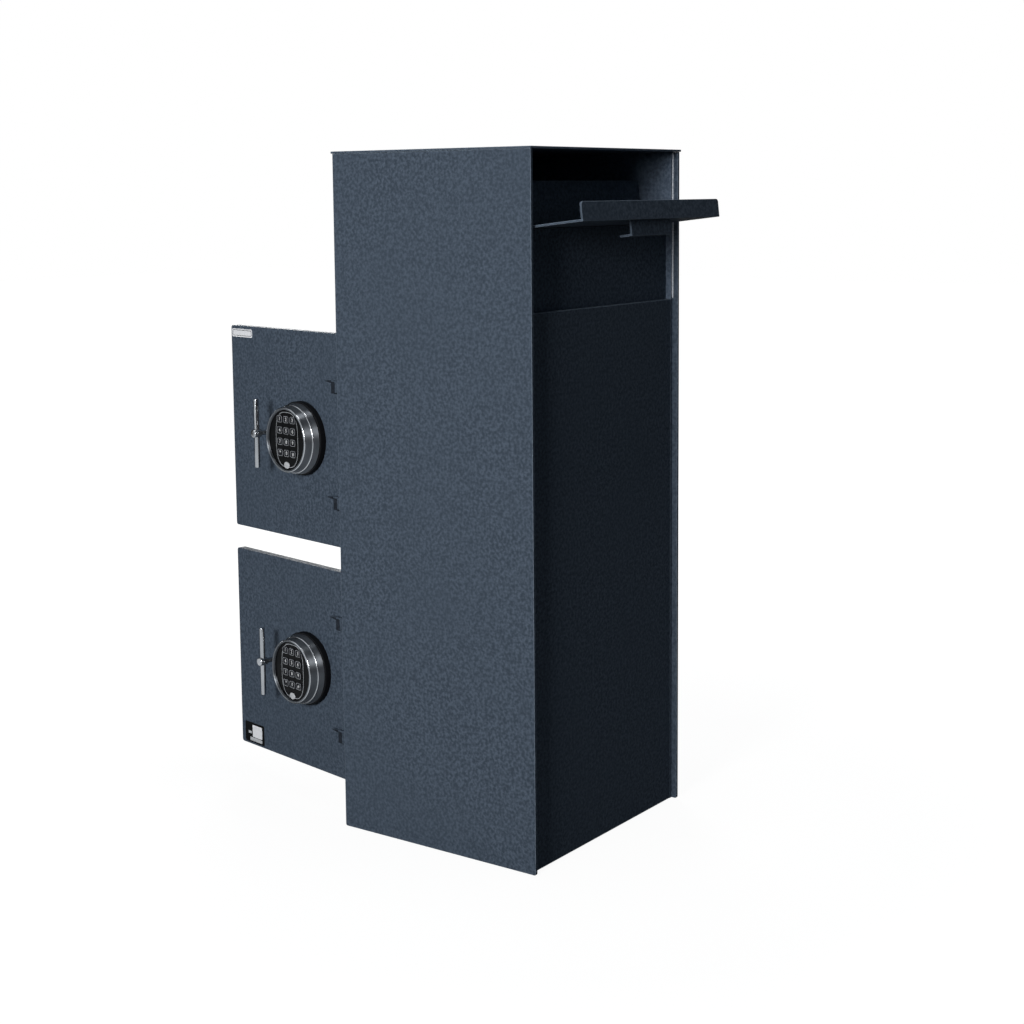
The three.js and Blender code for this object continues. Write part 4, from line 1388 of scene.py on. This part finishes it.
@dataclass
class Door:
    """One door with its keypad, handle, plates, boltwork and lock.

    Lengths are in millimetres. A place on the door is measured across from the hinge axis,
    negative towards the free edge, and up from the lower edge. Heights are from the outer face.

    Attributes:
        name: Upper or lower.
        bottom: Height of the door's lower edge.
        hinge: The hinge axis.
        open_angle: Degrees that the door stands open.
        face_offset: From the hinge axis back to the outer face.
        thickness: Thickness of the door plate.
        plate_edge: Radius of its eased edges.
        guide_edge: That of the bolt guide.
        case_edge: That of the lock case.
        bolt_edge: That of the lock bolt and the boltwork bar.
        keypad_at: The keypad's centre.
        handle_at: The spindle's centre.
        leaf_tops: Heights of the hinge leaves' tops.
        leaf_end_size: Width, height and corner radius of the dark patch at a leaf's end, painted
            shade.
        leaf_end_at: Its middle, across and down from the leaf's top.
        leaf_tail: Corners of the thin dark tail beside it, painted shade along the leaf's top.
        leaf_height: Lowest and highest point of both, on the leaf.
        lock_screws: Across, up from the keypad's centre, and depth of the lock case's screws.
        guide_screws: The same of the bolt guide's screws.
        screw_foot: Profile of a screw up to its domed edge.
        screw_dome: Radius and height of the dome's middle, and its radius.
        screw_socket: Profile from the dome into the socket.
        weld_at: Where the dead bar's welds are, across and in depth.
        weld_heights: Their heights.
        weld_size: Length and radius of a weld.
        plate_at: The name plate's middle.
        plate_size: Its width, height and corner radius.
        plate_height: Its lowest and highest point.
        plate_line: Widths, heights and corner radii of its line's outside and inside.
        line_height: The line's lowest and highest point.
        label_at: The label's middle.
        label_size: Its width, height and corner radius.
        label_height: Its lowest and highest point.
        blocks: Name, width, height, middle on the label and finish of its pale blocks.
        block_height: Their lowest and highest point.
        block_corner: Their corner radius.
    """

    name: str
    bottom: float
    hinge: Pair = (160.0, -188.8)
    open_angle: float = 78.9
    face_offset: float = 12.8
    thickness: float = 12.7
    plate_edge: float = 0.7
    guide_edge: float = 0.4
    case_edge: float = 1.0
    bolt_edge: float = 0.5
    keypad_at: Pair = (-129.0, 161.95)
    handle_at: Pair = (-197.0, 166.75)
    leaf_tops: Pair = (79.5, 259.0)
    leaf_end_size: Point = (9.0, 18.0, 1.0)
    leaf_end_at: Pair = (-43.2, -11.5)
    leaf_tail: tuple[Pair, ...] = ((-47.9, -0.3), (-61.7, -1.5), (-61.7, -2.9), (-47.9, -4.6))
    leaf_height: Pair = (5.9, 6.2)
    lock_screws: tuple[Point, ...] = (
        (-154.5, -31.0, 31.0), (-154.5, 31.0, 31.0), (-106.5, -31.0, 31.0), (-106.5, 31.0, 31.0))
    guide_screws: tuple[Point, ...] = (
        (-287.0, -79.2, 4.3), (-287.0, 4.8, 4.3), (-287.0, 88.8, 4.3))
    screw_foot: tuple[Pair, ...] = ((0, -1.0), (3.4, -1.0))
    screw_dome: Point = (2.2, 0.6, 1.2)
    screw_socket: tuple[Pair, ...] = ((1.5, 1.8), (1.3, 0.4), (0, 0.4))
    weld_at: Pair = (-22.2, -13.0)
    weld_heights: tuple[float, ...] = (70.0, 164.8, 259.5)
    weld_size: Pair = (38.0, 2.0)
    plate_at: Pair = (-288.7, 318.05)
    plate_size: Point = (56.0, 13.4, 2.6)
    plate_height: Pair = (0.03, 0.6)
    plate_line: tuple[Point, Point] = ((52.0, 9.4, 1.6), (50.4, 7.8, 0.8))
    line_height: Pair = (0.5, 0.68)
    label_at: Pair = (-283.2, 19.9)
    label_size: Point = (53.5, 34.0, 3.0)
    label_height: Pair = (0.03, 0.18)
    blocks: tuple[tuple[str, float, float, Pair, Look], ...] = (
        ("block", 27.0, 20.5, (7.2, 3.0), Look.ENAMEL),
        ("strip", 34.0, 6.0, (3.6, -11.2), Look.BADGE),
        ("patch", 9.0, 4.2, (-13.4, -0.6), Look.BADGE))
    block_height: Pair = (0.15, 0.24)
    block_corner: float = 0.8

    def place(self) -> np.ndarray:
        """Gives the outer face's frame: x towards the hinge, y up, z out of the face.

        Returns:
            A four by four matrix.
        """
        cosine, sine = np.cos(np.radians(self.open_angle)), np.sin(np.radians(self.open_angle))
        at = np.eye(4)
        at[:3, :3] = [[cosine, 0, sine], [sine, 0, -cosine], [0, 1, 0]]
        at[:3, 3] = np.array([self.hinge[0] - sine * self.face_offset,
                              self.hinge[1] + cosine * self.face_offset, self.bottom]) * MM
        return at

    def build(self) -> None:
        """Makes and dresses the door's pieces."""
        door = f"{self.name}_door"
        bolts = f"{self.name}_boltwork_bar"
        lock = f"{self.name}_lock_bolt"
        soft_edges(f"{self.name}_door_plate", door, Look.SHELL, "powder_coat", self.plate_edge,
                   Look.EDGE_HIGHLIGHT)
        for node, body, look, slot, radius in (
                (f"{self.name}_bolt_guide", door, Look.STEEL, "bare_steel",
                 self.guide_edge),
                (f"{self.name}_lock_case", door, Look.ZINC, "zinc_casting", self.case_edge),
                (lock, lock, Look.ZINC, "zinc_casting", self.bolt_edge),
                (bolts, bolts, Look.STEEL, "bare_steel", self.bolt_edge)):
            soft_edges(node, body, look, slot, radius)
        Keypad(self.name, self.place() @ shifted(*self.keypad_at, 0)).build()
        Handle(self.name, self.place() @ shifted(*self.handle_at, 0)).build()
        # Painted shade at each hinge leaf's end and top.
        for index, top in enumerate(self.leaf_tops):
            self.leaf_end(index, top)
        self.inside()
        if self.name == "upper":
            self.plate()
        else:
            self.label()

    def flat(self, word: str, ring: np.ndarray, heights: Pair, middle: Pair, look: Look,
             slot: str) -> None:
        """Lays a thin layer on the outer face.

        Args:
            word: The layer's name.
            ring: Its outline about its middle.
            heights: Its lowest and highest point.
            middle: Its place on the door.
            look: Its finish.
            slot: Name of a material slot, passed on to settle.
        """
        settle(closed_piece(f"{self.name}_{word}", film(ring, *heights),
                            self.place() @ shifted(*middle, 0), look), f"{self.name}_door", slot)

    def leaf_end(self, index: int, top: float) -> None:
        """Painted shade on a hinge leaf: a dark patch at its end and a thin dark tail at its top.

        Args:
            index: The leaf's number, from below.
            top: Height of its top.
        """
        across, down = self.leaf_end_at
        self.flat(f"leaf_end_{index}", rounded_ring(*self.leaf_end_size), self.leaf_height,
                  (across, top + down), Look.HINGE_SHADE, "inner_powder_coat")
        self.flat(f"leaf_tail_{index}", np.array(self.leaf_tail), self.leaf_height, (0.0, top),
                  Look.HINGE_SHADE, "inner_powder_coat")

    def inside(self) -> None:
        """Screws of the lock case and the guide, and the welds of the dead bar."""
        body = f"{self.name}_door"
        turned_in = np.diag([1.0, -1.0, -1.0, 1.0])
        radius, height, dome = self.screw_dome
        head = revolved([*self.screw_foot, *arc((radius, height), dome, 0, 90, 5),
                         *self.screw_socket], 32)
        for index, (x, z, depth) in enumerate((*self.lock_screws, *self.guide_screws)):
            at = self.place() @ shifted(x, self.keypad_at[1] + z, -self.thickness - depth)
            settle(closed_piece(f"{self.name}_screw_{index}", head, at @ turned_in, Look.OXIDE),
                   body, "bare_steel")
        upright = np.array([[0, -1, 0, 0], [1, 0, 0, 0], [0, 0, 1, 0], [0, 0, 0, 1]], float)
        across, depth = self.weld_at
        for index, z in enumerate(self.weld_heights):
            at = self.place() @ shifted(across, z, depth) @ upright
            settle(closed_piece(f"{self.name}_weld_{index}", weld_bead(*self.weld_size), at,
                                Look.WELD), body, "powder_coat")

    def plate(self) -> None:
        """A blank white name plate with one dark line round its field."""
        self.flat("name_plate", rounded_ring(*self.plate_size), self.plate_height,
                  self.plate_at, Look.ENAMEL, "chrome_plate")
        outer, inner = (rounded_ring(*size) for size in self.plate_line)
        line = frame_bead(outer, inner, *self.line_height)
        settle(closed_piece(f"{self.name}_name_plate_line", line,
                            self.place() @ shifted(*self.plate_at, 0), Look.VINYL),
               f"{self.name}_door", "chrome_plate")

    def label(self) -> None:
        """A black label with plain pale blocks."""
        x, z = self.label_at
        self.flat("label_film", rounded_ring(*self.label_size), self.label_height,
                  self.label_at, Look.VINYL, "black_plastic")
        for word, width, height, (across, up), look in self.blocks:
            self.flat(f"label_{word}", rounded_ring(width, height, self.block_corner),
                      self.block_height, (x + across, z + up), look, "black_plastic")


def main() -> None:
    """Builds the studio and the safe."""
    logging.basicConfig(level=logging.INFO, format="%(name)s: %(message)s")
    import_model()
    Studio().build()
    Case().build()
    Drawer().build()
    Door("upper", bottom=415.0).build()
    Door("lower", bottom=46.5).build()
    LOG.info("pieces done")


if __name__ == "__main__":
    main()
